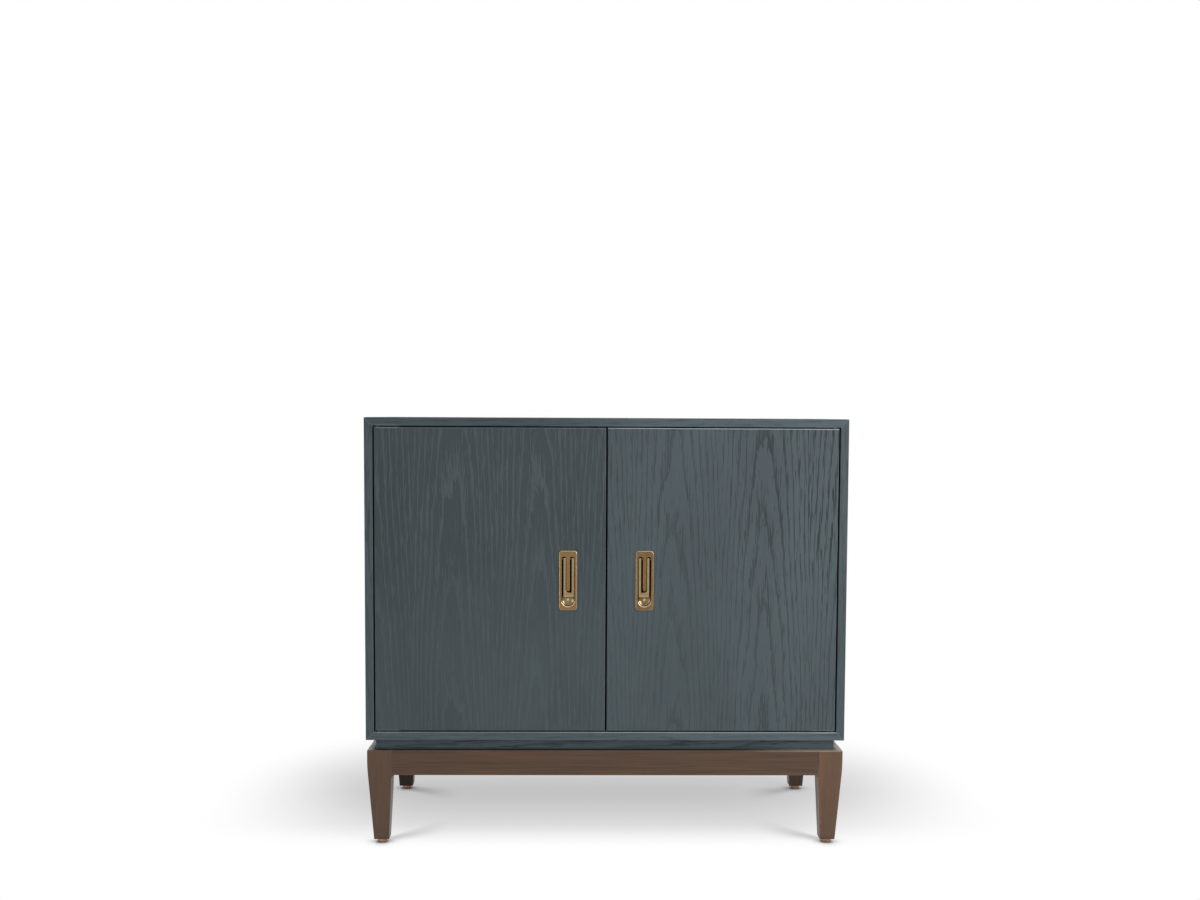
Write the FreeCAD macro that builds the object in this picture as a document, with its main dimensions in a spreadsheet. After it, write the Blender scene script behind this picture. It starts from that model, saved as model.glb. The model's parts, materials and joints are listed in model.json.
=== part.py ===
import FreeCAD, Part
import os
import re
import Sketcher
from FreeCAD import Placement, Rotation, Vector

# Two-door cabinet on a separate stained base: millimetres, +Z up, doors on the -Y side,
# origin on the floor under the middle of the footprint.

# Driving sizes
SIZES = {
    # mitred case
    "case_width": 914,
    "case_depth": 457,
    "case_height": 614,
    "panel": 16,
    "arris": 1.6,
    "rabbet": 8,
    "back_thickness": 6,
    # clearances
    "fit": 0.2,
    "running_fit": 0.05,
    # plinth between case and base
    "plinth_inset": 17,
    "plinth_height": 20,
    "plinth_strip": 44,
    # base frame
    "base_inset": 2,
    "apron_height": 48,
    "apron_thickness": 22,
    "apron_reveal": 0.8,
    "apron_ear": 5,
    "tenon_length": 18,
    "tenon_thickness": 10,
    "tenon_height": 34,
    # legs: outer faces run straight, then curve, then taper to the foot
    "leg_width": 46,
    "leg_height": 176,
    "leg_shoulder": 20,
    "leg_curve": 26,
    "leg_outer_taper": 11,
    "leg_inner_taper": 6,
    "leg_arris": 1.5,
    # glides
    "glide_radius": 9,
    "glide_height": 8,
    "glide_round": 1.5,
    "nail_radius": 1.5,
    "nail_length": 15,
    # corner blocks and the bolts that hold the case on the base
    "block_reach": 100,
    "block_height": 30,
    "bolt_radius": 3,
    "bolt_head_radius": 6.5,
    "bolt_head_height": 4,
    "bolt_grip": 11,
    "bolt_along": 64,
    "bolt_across": 40,
    # doors
    "door_thickness": 19,
    "side_gap": 2.5,
    "end_gap": 2.4,
    "meeting_gap": 3,
    # pivot hinges let into the ends of the doors
    "pivot_inset": 6,
    "pivot_setback": 6,
    "pivot_radius": 2,
    "leaf_radius": 4,
    "leaf_reach": 38,
    "leaf_thickness": 2.5,
    "washer_play": 0.1,
    "leaf_screw_first": 14,
    "leaf_screw_pitch": 17,
    "leaf_screw_radius": 1.3,
    "leaf_screw_head": 2.5,
    "leaf_screw_length": 12,
    # flush pulls
    "pull_from_edge": 54,
    "pull_width": 34,
    "pull_height": 113,
    "pull_proud": 1.8,
    "pull_corner": 5.5,
    "pull_edge": 1.3,
    "pan_width": 29,
    "pan_height": 106,
    "pan_depth": 10,
    "channel_width": 24.2,
    "channel_drop": 11.5,
    "channel_depth": 6.4,
    "tongue_width": 7,
    "tongue_length": 65.6,
    "channel_edge": 1,
    "dish_depth": 9,
    "dish_margin": 7,
    "finger_gap": 5.6,
    "dish_ledge": 1.2,
    "bail_leg": 5,
    "bail_bar": 9.2,
    "bail_thickness": 5,
    "bail_play": 1.8,
    "bail_shift": 0.85,
    "cove_height": 6.4,
    "cove_depth": 1.3,
    "cove_rise": 3.6,
    "bail_bend": 4.5,
    "bail_edge": 0.6,
    "pin_radius": 1.25,
    "pin_length": 27,
    "pull_screw_radius": 2,
    "pull_screw_head": 4,
    "pull_screw_head_height": 2.2,
    "pull_screw_grip": 6,
    "pull_screw_centre": 12,
    "pull_screw_pitch": 44,
    # magnetic catches
    "catch_from_centre": 62,
    "catch_length": 46,
    "catch_depth": 15,
    "catch_height": 13,
    "catch_ear": 9,
    "catch_ear_height": 3,
    "magnet_length": 20,
    "magnet_height": 7,
    "magnet_depth": 9,
    "magnet_gap": 0.4,
    "strike_length": 30,
    "strike_height": 16,
    "strike_thickness": 1.2,
    "strike_drop": 4,
    "trim_screw_radius": 1.5,
    "trim_screw_head": 3,
    "trim_screw_head_height": 1.5,
    "trim_screw_length": 11,
    # shelf
    "shelf_play": 1,
    "shelf_setback": 32,
    "shelf_pin_radius": 2.5,
    "shelf_pin_length": 20,
    "shelf_hole_depth": 10,
    "shelf_hole_first": 166,
    "shelf_hole_pitch": 32,
    "shelf_hole_front": 45,
    "shelf_hole_back": 60,
    # back panel screws
    "back_screw_radius": 1.5,
    "back_screw_head": 3.4,
    "back_screw_head_height": 1.6,
    "back_screw_length": 20,
    "back_screw_edge": 4,
}

# Counts
SHELF_HOLE_ROWS = 9
SHELF_ROW = 4
BACK_SCREW_COLUMNS = 5
BACK_SCREW_ROWS = 3

# Levels and faces worked out from the driving sizes
DERIVED = {
    "case_front": "(pull_proud - case_depth) / 2",
    "case_back": "(pull_proud + case_depth) / 2",
    "case_half": "case_width / 2",
    "through": "2 * (case_width + case_height)",
    "base_top": "glide_height + leg_height",
    "case_base": "base_top + plinth_height",
    "case_crown": "case_base + case_height",
    "inner_half": "case_half - panel",
    "inner_floor": "case_base + panel",
    "inner_roof": "case_crown - panel",
    "back_face": "case_back - rabbet",
    "base_half": "case_half - base_inset",
    "base_front": "case_front + base_inset",
    "base_back": "case_back - base_inset",
    "base_depth": "case_depth - 2 * base_inset",
    "apron_base": "base_top - apron_height",
    "apron_back": "apron_reveal + apron_thickness",
    "leg_knee": "apron_base - apron_ear",
    "plinth_half": "case_half - plinth_inset",
    "plinth_front": "case_front + plinth_inset",
    "plinth_back": "case_back - plinth_inset",
    "door_edge": "inner_half - side_gap",
    "door_foot": "inner_floor + end_gap",
    "door_head": "inner_roof - end_gap",
    "door_back": "case_front + door_thickness",
    "pivot_x": "door_edge - pivot_inset",
    "pivot_y": "case_front + pivot_setback",
    "pull_x": "meeting_gap / 2 + pull_from_edge + pull_width / 2",
    "pull_z": "(door_foot + door_head) / 2",
    "channel_top": "pull_height / 2 - channel_drop",
    "arch_radius": "(channel_width - tongue_width) / 4",
    "scoop_radius": "channel_width / 2",
    "scoop_z": "dish_margin + scoop_radius - pull_height / 2",
    "dish_radius": "scoop_radius - dish_ledge",
    "dish_drop": "dish_depth - channel_depth",
    "floor_y": "channel_depth - pull_proud",
    "cove_radius": "(cove_height * cove_height / 4 + cove_depth * cove_depth) / (2 * cove_depth)",
    "pin_y": "bail_thickness / 2 - pull_proud",
    "pin_z": "channel_top - arch_radius",
    "catch_front": "door_back + strike_thickness + magnet_gap",
    "shelf_pin_z": "inner_floor + shelf_hole_first + shelf_hole_pitch * %d" % SHELF_ROW,
    "shelf_base": "shelf_pin_z + shelf_pin_radius + running_fit",
    "shelf_front": "door_back + shelf_setback",
    "front_hole_y": "door_back + shelf_hole_front",
    "back_hole_y": "back_face - shelf_hole_back",
}

SIDES = {"left": -1, "right": 1}
SIGN = {"XY_Plane": 1, "XZ_Plane": -1, "YZ_Plane": 1}
CLOSE = 1e-4
UPWARD = Rotation()
DOWNWARD = Rotation(Vector(1, 0, 0), 180)
FORWARD = Rotation(Vector(1, 0, 0), 90)
BACKWARD = Rotation(Vector(1, 0, 0), -90)
SIDEWAYS = Rotation(Vector(0, 1, 0), 90)

doc = FreeCAD.newDocument("two_door_cabinet")
sheet = doc.addObject("Spreadsheet::Sheet", "Sizes")
for row, (alias, amount) in enumerate(SIZES.items(), start=1):
    sheet.set("A%d" % row, alias)
    sheet.set("B%d" % row, str(amount))
    sheet.setAlias("B%d" % row, alias)
doc.recompute()

nodes = []


# Names and numbers

def size(text):
    # an expression in which each named size points at its cell
    def cell(match):
        name = match.group(0)
        if name in DERIVED:
            return "(%s)" % size(DERIVED[name])
        return "Sizes." + name
    return re.sub(r"[a-z_]+", cell, str(text))


def value(text):
    return float(sheet.evalExpression(size(text)))


def bind(thing, **sizes):
    for name, text in sizes.items():
        thing.setExpression(name, size(text))


def move(thing, x, y, z, turn=UPWARD):
    thing.Placement = Placement(Vector(), turn)
    for axis, text in zip("xyz", (x, y, z)):
        thing.setExpression("Placement.Base." + axis, size(text))
    return thing


def node(thing, name):
    thing.Label = name
    nodes.append(thing)
    return thing


# Sketches

def sketch_on(body, plane, level):
    sketch = body.newObject("Sketcher::SketchObject", body.Name + "_sketch")
    origin = [f for f in body.Origin.OriginFeatures if f.Role == plane][0]
    sketch.AttachmentSupport = [(origin, "")]
    sketch.MapMode = "FlatFace"
    bind(sketch, **{"AttachmentOffset.Base.z": "%d * (%s)" % (SIGN[plane], level)})
    return sketch


def pin_point(sketch, shape, end, x, y):
    # a vertex held at its distances from the sketch's origin
    for kind, text in (("DistanceX", x), ("DistanceY", y)):
        rule = Sketcher.Constraint(kind, -1, 1, shape, end, value(text))
        index = sketch.addConstraint(rule)
        sketch.setExpression("Constraints[%d]" % index, size(text))


def outline(sketch, points):
    # a closed run of straight lines
    spots = [Vector(value(x), value(y), 0) for x, y in points]
    first = sketch.GeometryCount
    for start, end in zip(spots, spots[1:] + spots[:1]):
        sketch.addGeometry(Part.LineSegment(start, end), False)
    count = len(points)
    for i, (x, y) in enumerate(points):
        following = first + (i + 1) % count
        sketch.addConstraint(Sketcher.Constraint("Coincident", first + i, 2, following, 1))
        pin_point(sketch, first + i, 1, x, y)
    return sketch


def rectangle(sketch, left, right, low, high):
    return outline(sketch, [(left, low), (right, low), (right, high), (left, high)])


def circle(sketch, x, y, radius):
    spot = Vector(value(x), value(y), 0)
    shape = sketch.addGeometry(Part.Circle(spot, Vector(0, 0, 1), value(radius)), False)
    pin_point(sketch, shape, 3, x, y)
    index = sketch.addConstraint(Sketcher.Constraint("Radius", shape, value(radius)))
    sketch.setExpression("Constraints[%d]" % index, size(radius))
    return sketch


def obround(sketch, left, right, y, radius):
    # two half circles joined by straight sides
    r = value(radius)
    west = Vector(value(left), value(y), 0)
    east = Vector(value(right), value(y), 0)
    up = Vector(0, r, 0)
    arc_west = Part.Arc(west + up, west - Vector(r, 0, 0), west - up)
    arc_east = Part.Arc(east - up, east + Vector(r, 0, 0), east + up)
    a, b, c, d = sketch.addGeometry([arc_west, Part.LineSegment(west - up, east - up),
                                     arc_east, Part.LineSegment(east + up, west + up)], False)
    for one, one_end, two, two_end in ((a, 2, b, 1), (b, 2, c, 1), (c, 2, d, 1), (d, 2, a, 1)):
        sketch.addConstraint(Sketcher.Constraint("Tangent", one, one_end, two, two_end))
    pin_point(sketch, a, 3, left, y)
    pin_point(sketch, c, 3, right, y)
    index = sketch.addConstraint(Sketcher.Constraint("Radius", a, r))
    sketch.setExpression("Constraints[%d]" % index, size(radius))
    return sketch


# Features

def new_body(name):
    return node(doc.addObject("PartDesign::Body", name), name)


def pad(body, sketch, length, away=False):
    feature = body.newObject("PartDesign::Pad", body.Name + "_pad")
    feature.Profile = sketch
    feature.Reversed = away
    bind(feature, Length=length)
    doc.recompute()
    return feature


def pocket(body, sketch, depth, away=False, centred=False):
    before = body.Shape.Volume
    feature = body.newObject("PartDesign::Pocket", body.Name + "_pocket")
    feature.Profile = sketch
    feature.Reversed = away
    feature.Midplane = centred
    bind(feature, Length=depth)
    doc.recompute()
    if body.Shape.Volume > before - CLOSE:
        raise RuntimeError("a pocket in %s cuts nothing" % body.Label)
    return feature


def edges_where(feature, test):
    return ["Edge%d" % i for i, edge in enumerate(feature.Shape.Edges, 1) if test(edge)]


def lies(edge, **where):
    # true if the whole edge keeps the given coordinates
    middle = edge.valueAt((edge.FirstParameter + edge.LastParameter) / 2)
    spots = [vertex.Point for vertex in edge.Vertexes] + [middle]
    return all(abs(getattr(p, axis) - value(text)) < CLOSE for p in spots for axis, text in where.items())


def soften(body, kind, amount, test):
    base = body.Tip
    feature = body.newObject("PartDesign::" + kind, body.Name + "_" + kind.lower())
    feature.Base = (base, edges_where(base, test))
    bind(feature, **{"Radius" if kind == "Fillet" else "Size": amount})
    doc.recompute()
    return feature


# Solids

def box(name, low, high):
    thing = doc.addObject("Part::Box", name)
    spans = ["(%s) - (%s)" % (b, a) for a, b in zip(low, high)]
    bind(thing, Length=spans[0], Width=spans[1], Height=spans[2])
    return move(thing, *low)


def cylinder(name, radius, length, at, turn=UPWARD):
    thing = doc.addObject("Part::Cylinder", name)
    bind(thing, Radius=radius, Height=length)
    return move(thing, *at, turn)


def joined(name, things):
    thing = doc.addObject("Part::MultiFuse", name)
    thing.Shapes = things
    return thing


def group(name, things):
    thing = doc.addObject("Part::Compound", name)
    thing.Links = things
    return node(thing, name)


def drilled(name, base, tools):
    thing = doc.addObject("Part::Cut", name)
    thing.Base = base
    thing.Tool = tools[0] if len(tools) == 1 else joined(name + "_tools", tools)
    return thing


def screw(name, at, turn, head, head_height, radius, length):
    # round head outside the surface at the given point, shank running in along the turned -Z
    cap = cylinder(name + "_head", head, head_height, ("0", "0", "0"))
    shank = cylinder(name + "_shank", radius, length, ("0", "0", "-(%s)" % length))
    return move(joined(name, [cap, shank]), *at, turn)


def flat_screw(name, at, turn):
    # countersunk head flush with the surface at the given point
    head = doc.addObject("Part::Cone", name + "_head")
    drop = "leaf_screw_head - leaf_screw_radius"
    bind(head, Radius1="leaf_screw_radius", Radius2="leaf_screw_head", Height=drop)
    move(head, "0", "0", "-(%s)" % drop)
    shank = cylinder(name + "_shank", "leaf_screw_radius", "leaf_screw_length - (%s)" % drop,
                     ("0", "0", "-leaf_screw_length"))
    return move(joined(name, [head, shank]), *at, turn)


# Hinge places: two per side, at the foot and the head of each door

def leaf_span(sign, x):
    return ("%d * (pivot_x)" % sign, "%d * (pivot_x - (%s))" % (sign, x))


def leaf_screw_places(sign):
    return ["%d * (pivot_x - leaf_screw_first - %d * leaf_screw_pitch)" % (sign, i) for i in range(2)]


def let_in_leaves(body, level, sides, away):
    # mortises for hinge leaves with pilot holes for their screws
    for sign in sides:
        bed = sketch_on(body, "XY_Plane", level)
        near, far = leaf_span(sign, "leaf_reach")
        obround(bed, *((near, far) if sign < 0 else (far, near)), "pivot_y", "leaf_radius + fit")
        pocket(body, bed, "leaf_thickness", away)
        pilots = sketch_on(body, "XY_Plane", level)
        for x in leaf_screw_places(sign):
            circle(pilots, x, "pivot_y", "leaf_screw_radius + fit")
        pocket(body, pilots, "leaf_screw_length + fit", away)


def hinge_leaf(name, sign, base, screws_down):
    # a leaf with its pivot eye and two countersunk screw holes
    body = doc.addObject("PartDesign::Body", name)
    plan = sketch_on(body, "XY_Plane", base)
    near, far = leaf_span(sign, "leaf_reach")
    obround(plan, *((near, far) if sign < 0 else (far, near)), "pivot_y", "leaf_radius")
    circle(plan, near, "pivot_y", "pivot_radius + running_fit")
    for x in leaf_screw_places(sign):
        circle(plan, x, "pivot_y", "leaf_screw_radius + running_fit")
    pad(body, plan, "leaf_thickness")
    face = base + (" + leaf_thickness" if screws_down else "")
    eyes = [value(x) for x in leaf_screw_places(sign)]
    soften(body, "Chamfer", "leaf_screw_head - leaf_screw_radius",
           lambda e: lies(e, z=face) and e.Curve.TypeId == "Part::GeomCircle"
           and min(abs(e.Curve.Center.x - x) for x in eyes) < CLOSE)
    return body


# Case: four panels mitred at the corners, rabbeted for the back

def case_panel(name, corners, long_sides, rabbet_plane, rabbet_box):
    body = new_body(name)
    pad(body, outline(sketch_on(body, "XZ_Plane", "case_back"), corners), "case_depth")
    soften(body, "Fillet", "arris",
           lambda e: any(lies(e, y="case_front", **side) for side in long_sides))
    groove = rectangle(sketch_on(body, rabbet_plane, "0"), *rabbet_box)
    return body, groove


def level_panel(name, outer, inner, groove_low, groove_high):
    corners = [("-case_half", outer), ("case_half", outer), ("inner_half", inner), ("-inner_half", inner)]
    body, groove = case_panel(name, corners, ({"z": outer}, {"z": inner}), "YZ_Plane",
                              ("back_face", "case_back", groove_low, groove_high))
    pocket(body, groove, "through", centred=True)
    return body


def case_top():
    body = level_panel("case_top", "case_crown", "inner_roof", "inner_roof", "inner_roof + rabbet")
    let_in_leaves(body, "inner_roof", SIDES.values(), away=True)
    pilots = sketch_on(body, "XY_Plane", "inner_roof")
    for x, y in catch_screw_places():
        circle(pilots, x, y, "trim_screw_radius + fit")
    pocket(body, pilots, "trim_screw_length - catch_ear_height + fit", away=True)
    back_pilots(body, "inner_roof + back_screw_edge", "x")


def case_bottom():
    body = level_panel("case_bottom", "case_base", "inner_floor", "inner_floor - rabbet", "inner_floor")
    let_in_leaves(body, "inner_floor", SIDES.values(), away=False)
    holes = sketch_on(body, "XY_Plane", "case_base")
    for x, y in bolt_places():
        circle(holes, x, y, "bolt_radius + fit")
    pocket(body, holes, "bolt_grip + fit", away=True)
    back_pilots(body, "inner_floor - back_screw_edge", "x")


def side_panel(side, sign):
    outer = "%d * case_half" % sign
    inner = "%d * (inner_half)" % sign
    corners = [(outer, "case_base"), (outer, "case_crown"), (inner, "inner_roof"), (inner, "inner_floor")]
    deep = "%d * (inner_half + rabbet)" % sign
    body, groove = case_panel(side + "_side", corners, ({"x": outer}, {"x": inner}), "XY_Plane",
                              (inner, deep, "back_face", "case_back"))
    pocket(body, groove, "through", centred=True)
    holes = sketch_on(body, "YZ_Plane", inner)
    for y in ("front_hole_y", "back_hole_y"):
        circle(holes, y, "inner_floor + shelf_hole_first", "shelf_pin_radius + running_fit")
    first = pocket(body, holes, "shelf_hole_depth + fit", away=sign > 0)
    rows = body.newObject("PartDesign::LinearPattern", body.Name + "_rows")
    rows.Originals = [first]
    rows.Direction = (holes, ["V_Axis"])
    rows.Occurrences = SHELF_HOLE_ROWS
    bind(rows, Length="shelf_hole_pitch * %d" % (SHELF_HOLE_ROWS - 1))
    body.Tip = rows
    doc.recompute()
    back_pilots(body, "%d * (inner_half + back_screw_edge)" % sign, "z")


def back_screw_line(along):
    # places of the back's screws along one of its edges
    if along == "x":
        step = "2 * (inner_half) / %d" % BACK_SCREW_COLUMNS
        return ["-(inner_half) + %s * %.1f" % (step, i + 0.5) for i in range(BACK_SCREW_COLUMNS)]
    step = "(inner_roof - inner_floor) / %d" % BACK_SCREW_ROWS
    return ["inner_floor + %s * %.1f" % (step, i + 0.5) for i in range(BACK_SCREW_ROWS)]


def back_screw_places():
    ends = ["inner_floor - back_screw_edge", "inner_roof + back_screw_edge"]
    sides = ["%d * (inner_half + back_screw_edge)" % sign for sign in SIDES.values()]
    level = [(x, z) for z in ends for x in back_screw_line("x")]
    upright = [(x, z) for x in sides for z in back_screw_line("z")]
    return level + upright


def back_pilots(body, line, along):
    pilots = sketch_on(body, "XZ_Plane", "back_face")
    for place in back_screw_line(along):
        spot = (place, line) if along == "x" else (line, place)
        circle(pilots, *spot, "back_screw_radius + fit")
    pocket(body, pilots, "back_screw_length - back_thickness + fit", away=True)


def back_panel():
    body = new_body("back_panel")
    half = "inner_half + rabbet - fit"
    sheet_outline = sketch_on(body, "XZ_Plane", "back_face + back_thickness")
    rectangle(sheet_outline, "-(%s)" % half, half,
              "inner_floor - rabbet + fit", "inner_roof + rabbet - fit")
    for x, z in back_screw_places():
        circle(sheet_outline, x, z, "back_screw_radius + fit")
    pad(body, sheet_outline, "back_thickness")
    group("back_panel_screws", [
        screw("back_screw_%d" % i, (x, "back_face + back_thickness", z), BACKWARD, "back_screw_head",
              "back_screw_head_height", "back_screw_radius", "back_screw_length")
        for i, (x, z) in enumerate(back_screw_places())])


# Shelf on four pins

def shelf():
    body = new_body("shelf")
    half = "inner_half - shelf_play"
    plan = rectangle(sketch_on(body, "XY_Plane", "shelf_base"), "-(%s)" % half, half,
                     "shelf_front", "back_face - shelf_play")
    pad(body, plan, "panel")
    soften(body, "Fillet", "arris", lambda e: lies(e, y="shelf_front") and not lies(e, x=half)
           and not lies(e, x="-(%s)" % half))
    pins = []
    for side, sign in SIDES.items():
        for place in ("front", "back"):
            start = "inner_half - shelf_pin_length + shelf_hole_depth"
            if sign < 0:
                start = "-(inner_half) - shelf_hole_depth"
            pins.append(cylinder("shelf_pin_%s_%s" % (side, place), "shelf_pin_radius", "shelf_pin_length",
                                 (start, place + "_hole_y", "shelf_pin_z"), SIDEWAYS))
    group("shelf_pins", pins)


# Plinth: four strips set back between the case and the base

def plinth():
    for name, low, high in (("front", "plinth_front", "plinth_front + plinth_strip"),
                            ("back", "plinth_back - plinth_strip", "plinth_back")):
        body = new_body("plinth_" + name)
        plan = rectangle(sketch_on(body, "XY_Plane", "base_top"), "-(plinth_half)", "plinth_half", low, high)
        for x, y in bolt_places():
            if value(low) < value(y) < value(high):
                circle(plan, x, y, "bolt_radius + fit")
        pad(body, plan, "plinth_height")
    for side, sign in SIDES.items():
        ends = sorted(("%d * (plinth_half)" % sign, "%d * (plinth_half - plinth_strip)" % sign), key=value)
        node(box("plinth_" + side, (ends[0], "plinth_front + plinth_strip", "base_top"),
                 (ends[1], "plinth_back - plinth_strip", "case_base")), "plinth_" + side)


# Base: four tapered legs, four aprons tenoned into them, glued corner blocks

# The corners in order, each a quarter turn on from the one before
CORNERS = {
    "front_left": ("-(base_half)", "base_front"),
    "front_right": ("base_half", "base_front"),
    "back_right": ("base_half", "base_back"),
    "back_left": ("-(base_half)", "base_back"),
}


def quarter_turns(corner):
    return list(CORNERS).index(corner)


def corner_turn(corner):
    return Rotation(Vector(0, 0, 1), 90 * quarter_turns(corner))


def to_corner(thing, corner, z="0"):
    x, y = CORNERS[corner]
    return move(thing, x, y, z, corner_turn(corner))


def bolt_places():
    # one bolt per corner, further along the front or back than along the sides
    along = "base_half - bolt_along"
    return [("%d * (%s)" % (sx, along), y) for y in ("base_front + bolt_across", "base_back - bolt_across")
            for sx in SIDES.values()]


def leg_profile(sketch):
    # one side view of a leg: outer face at 0, inner face at leg_width
    top, shoulder = value("base_top"), value("base_top - leg_shoulder")
    bend, foot = value("base_top - leg_shoulder - leg_curve"), value("glide_height")
    taper, knee = value("leg_outer_taper"), value("leg_knee")
    width, inner = value("leg_width"), value("leg_width - leg_inner_taper")
    # the curve ends where its tangent runs straight to the foot
    drop = taper * (shoulder - bend) / (shoulder + bend - 2 * foot)
    rise = shoulder - bend
    radius = (drop * drop + rise * rise) / (2 * drop)
    middle = Vector(radius - (radius ** 2 - (rise / 2) ** 2) ** 0.5, shoulder - rise / 2, 0)
    spots = [Vector(0, top, 0), Vector(0, shoulder, 0), Vector(drop, bend, 0), Vector(taper, foot, 0),
             Vector(inner, foot, 0), Vector(width, knee, 0), Vector(width, top, 0)]
    straight, curve, run = sketch.addGeometry([
        Part.LineSegment(spots[0], spots[1]), Part.Arc(spots[1], middle, spots[2]),
        Part.LineSegment(spots[2], spots[3])], False)
    sole, inside, joint, crown = sketch.addGeometry([
        Part.LineSegment(a, b) for a, b in zip(spots[3:], spots[4:] + spots[:1])], False)
    turned = sketch.Geometry[curve].StartPoint.isEqual(spots[2], CLOSE)
    near, far = (2, 1) if turned else (1, 2)
    rules = [("Tangent", straight, 2, curve, near), ("Tangent", curve, far, run, 1),
             ("Coincident", run, 2, sole, 1), ("Coincident", sole, 2, inside, 1),
             ("Coincident", inside, 2, joint, 1), ("Coincident", joint, 2, crown, 1),
             ("Coincident", crown, 2, straight, 1)]
    for rule in rules:
        sketch.addConstraint(Sketcher.Constraint(*rule))
    pin_point(sketch, straight, 1, "0", "base_top")
    pin_point(sketch, straight, 2, "0", "base_top - leg_shoulder")
    pin_point(sketch, run, 2, "leg_outer_taper", "glide_height")
    pin_point(sketch, inside, 1, "leg_width - leg_inner_taper", "glide_height")
    pin_point(sketch, joint, 1, "leg_width", "leg_knee")
    pin_point(sketch, crown, 1, "leg_width", "base_top")
    level = sketch.addConstraint(Sketcher.Constraint("DistanceY", -1, 1, run, 1, bend))
    sketch.setExpression("Constraints[%d]" % level, size("base_top - leg_shoulder - leg_curve"))


def leg_blank(name, turn, direction):
    sketch = doc.addObject("Sketcher::SketchObject", name + "_sketch")
    sketch.Placement = Placement(Vector(), turn)
    leg_profile(sketch)
    blank = doc.addObject("Part::Extrusion", name)
    blank.Base = sketch
    blank.DirMode = "Custom"
    blank.Dir = direction
    blank.Solid = True
    bind(blank, LengthFwd="leg_width")
    return blank


def leg_edge_shows(edge):
    # the outer corner, the crown's outer edges and the sole; the edges that run up to the aprons stay crisp
    middle = edge.BoundBox.Center
    outer = max(middle.x, middle.y) < value("leg_width / 2") and edge.BoundBox.ZLength > value("leg_arris")
    crown = lies(edge, z="base_top", x="0") or lies(edge, z="base_top", y="0")
    sole = edge.BoundBox.ZMax < value("glide_height + leg_arris")
    return outer or crown or sole


def leg(corner):
    name = corner + "_leg"
    # the front view and the side view cut each other to the tapered leg
    blank = doc.addObject("Part::MultiCommon", name + "_blank")
    blank.Shapes = [leg_blank(name + "_front", FORWARD, Vector(0, 1, 0)),
                    leg_blank(name + "_side", Rotation(Vector(1, 1, 1), 120), Vector(1, 0, 0))]
    doc.recompute()
    eased = doc.addObject("Part::Fillet", name + "_eased")
    eased.Base = blank
    arris = value("leg_arris")
    eased.Edges = [(i, arris, arris) for i, edge in enumerate(blank.Shape.Edges, 1) if leg_edge_shows(edge)]
    start = "leg_width - tenon_length - fit"
    low = "(apron_reveal + (apron_thickness - tenon_thickness) / 2) - fit"
    high = "(apron_reveal + (apron_thickness + tenon_thickness) / 2) + fit"
    base = "apron_base + (apron_height - tenon_height) / 2 - fit"
    crest = "apron_base + (apron_height + tenon_height) / 2 + fit"
    mortises = [box(name + "_mortise_x", (start, low, base), ("leg_width", high, crest)),
                box(name + "_mortise_y", (low, start, base), (high, "leg_width", crest))]
    middle = "(leg_outer_taper + leg_width - leg_inner_taper) / 2"
    nail = cylinder(name + "_nail_hole", "nail_radius + fit", "nail_length + fit",
                    (middle, middle, "glide_height"))
    return node(to_corner(drilled(name, eased, mortises + [nail]), corner), name)


def glide(corner):
    body = doc.addObject("PartDesign::Body", "glide_" + corner)
    disc = circle(sketch_on(body, "XY_Plane", "0"), "0", "0", "glide_radius")
    pad(body, disc, "glide_height")
    soften(body, "Fillet", "glide_round", lambda e: lies(e, z="0"))
    nail = circle(sketch_on(body, "XY_Plane", "glide_height"), "0", "0", "nail_radius")
    pad(body, nail, "nail_length")
    middle = "(leg_outer_taper + leg_width - leg_inner_taper) / 2"
    x, y = CORNERS[corner]
    outward = corner_turn(corner).multVec(Vector(1, 1, 0))
    return move(body, "%s + %d * (%s)" % (x, round(outward.x), middle),
                "%s + %d * (%s)" % (y, round(outward.y), middle), "0")


def apron(name, span, x, y, angle):
    # outer face on local y 0, ears that turn down to the legs, a tenon at each end
    body = new_body(name)
    half = "(%s) / 2 - leg_width" % span
    front = sketch_on(body, "XZ_Plane", "apron_thickness")
    outline(front, [("-(%s)" % half, "-apron_ear"), ("-(%s) + apron_ear" % half, "0"),
                    ("%s - apron_ear" % half, "0"), (half, "-apron_ear"),
                    (half, "apron_height"), ("-(%s)" % half, "apron_height")])
    pad(body, front, "apron_thickness")
    reach = "%s + tenon_length" % half
    tenon = sketch_on(body, "XZ_Plane", "(apron_thickness + tenon_thickness) / 2")
    rectangle(tenon, "-(%s)" % reach, reach, "(apron_height - tenon_height) / 2",
              "(apron_height + tenon_height) / 2")
    pad(body, tenon, "tenon_thickness")
    soften(body, "Fillet", "leg_arris", lambda e: lies(e, y="0", z="apron_height"))
    move(body, x, y, "apron_base", Rotation(Vector(0, 0, 1), angle))


def corner_block(corner):
    # fits round the leg's inner corner and along both aprons
    body = doc.addObject("PartDesign::Body", corner + "_block")
    plan = sketch_on(body, "XY_Plane", "0")
    outline(plan, [("leg_width", "apron_back"), ("block_reach", "apron_back"),
                   ("apron_back", "block_reach"), ("apron_back", "leg_width"), ("leg_width", "leg_width")])
    swapped = quarter_turns(corner) % 2 == 1
    spot = ("bolt_across", "bolt_along") if swapped else ("bolt_along", "bolt_across")
    circle(plan, *spot, "bolt_radius + fit")
    pad(body, plan, "block_height")
    return to_corner(body, corner, "base_top - block_height")


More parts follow.
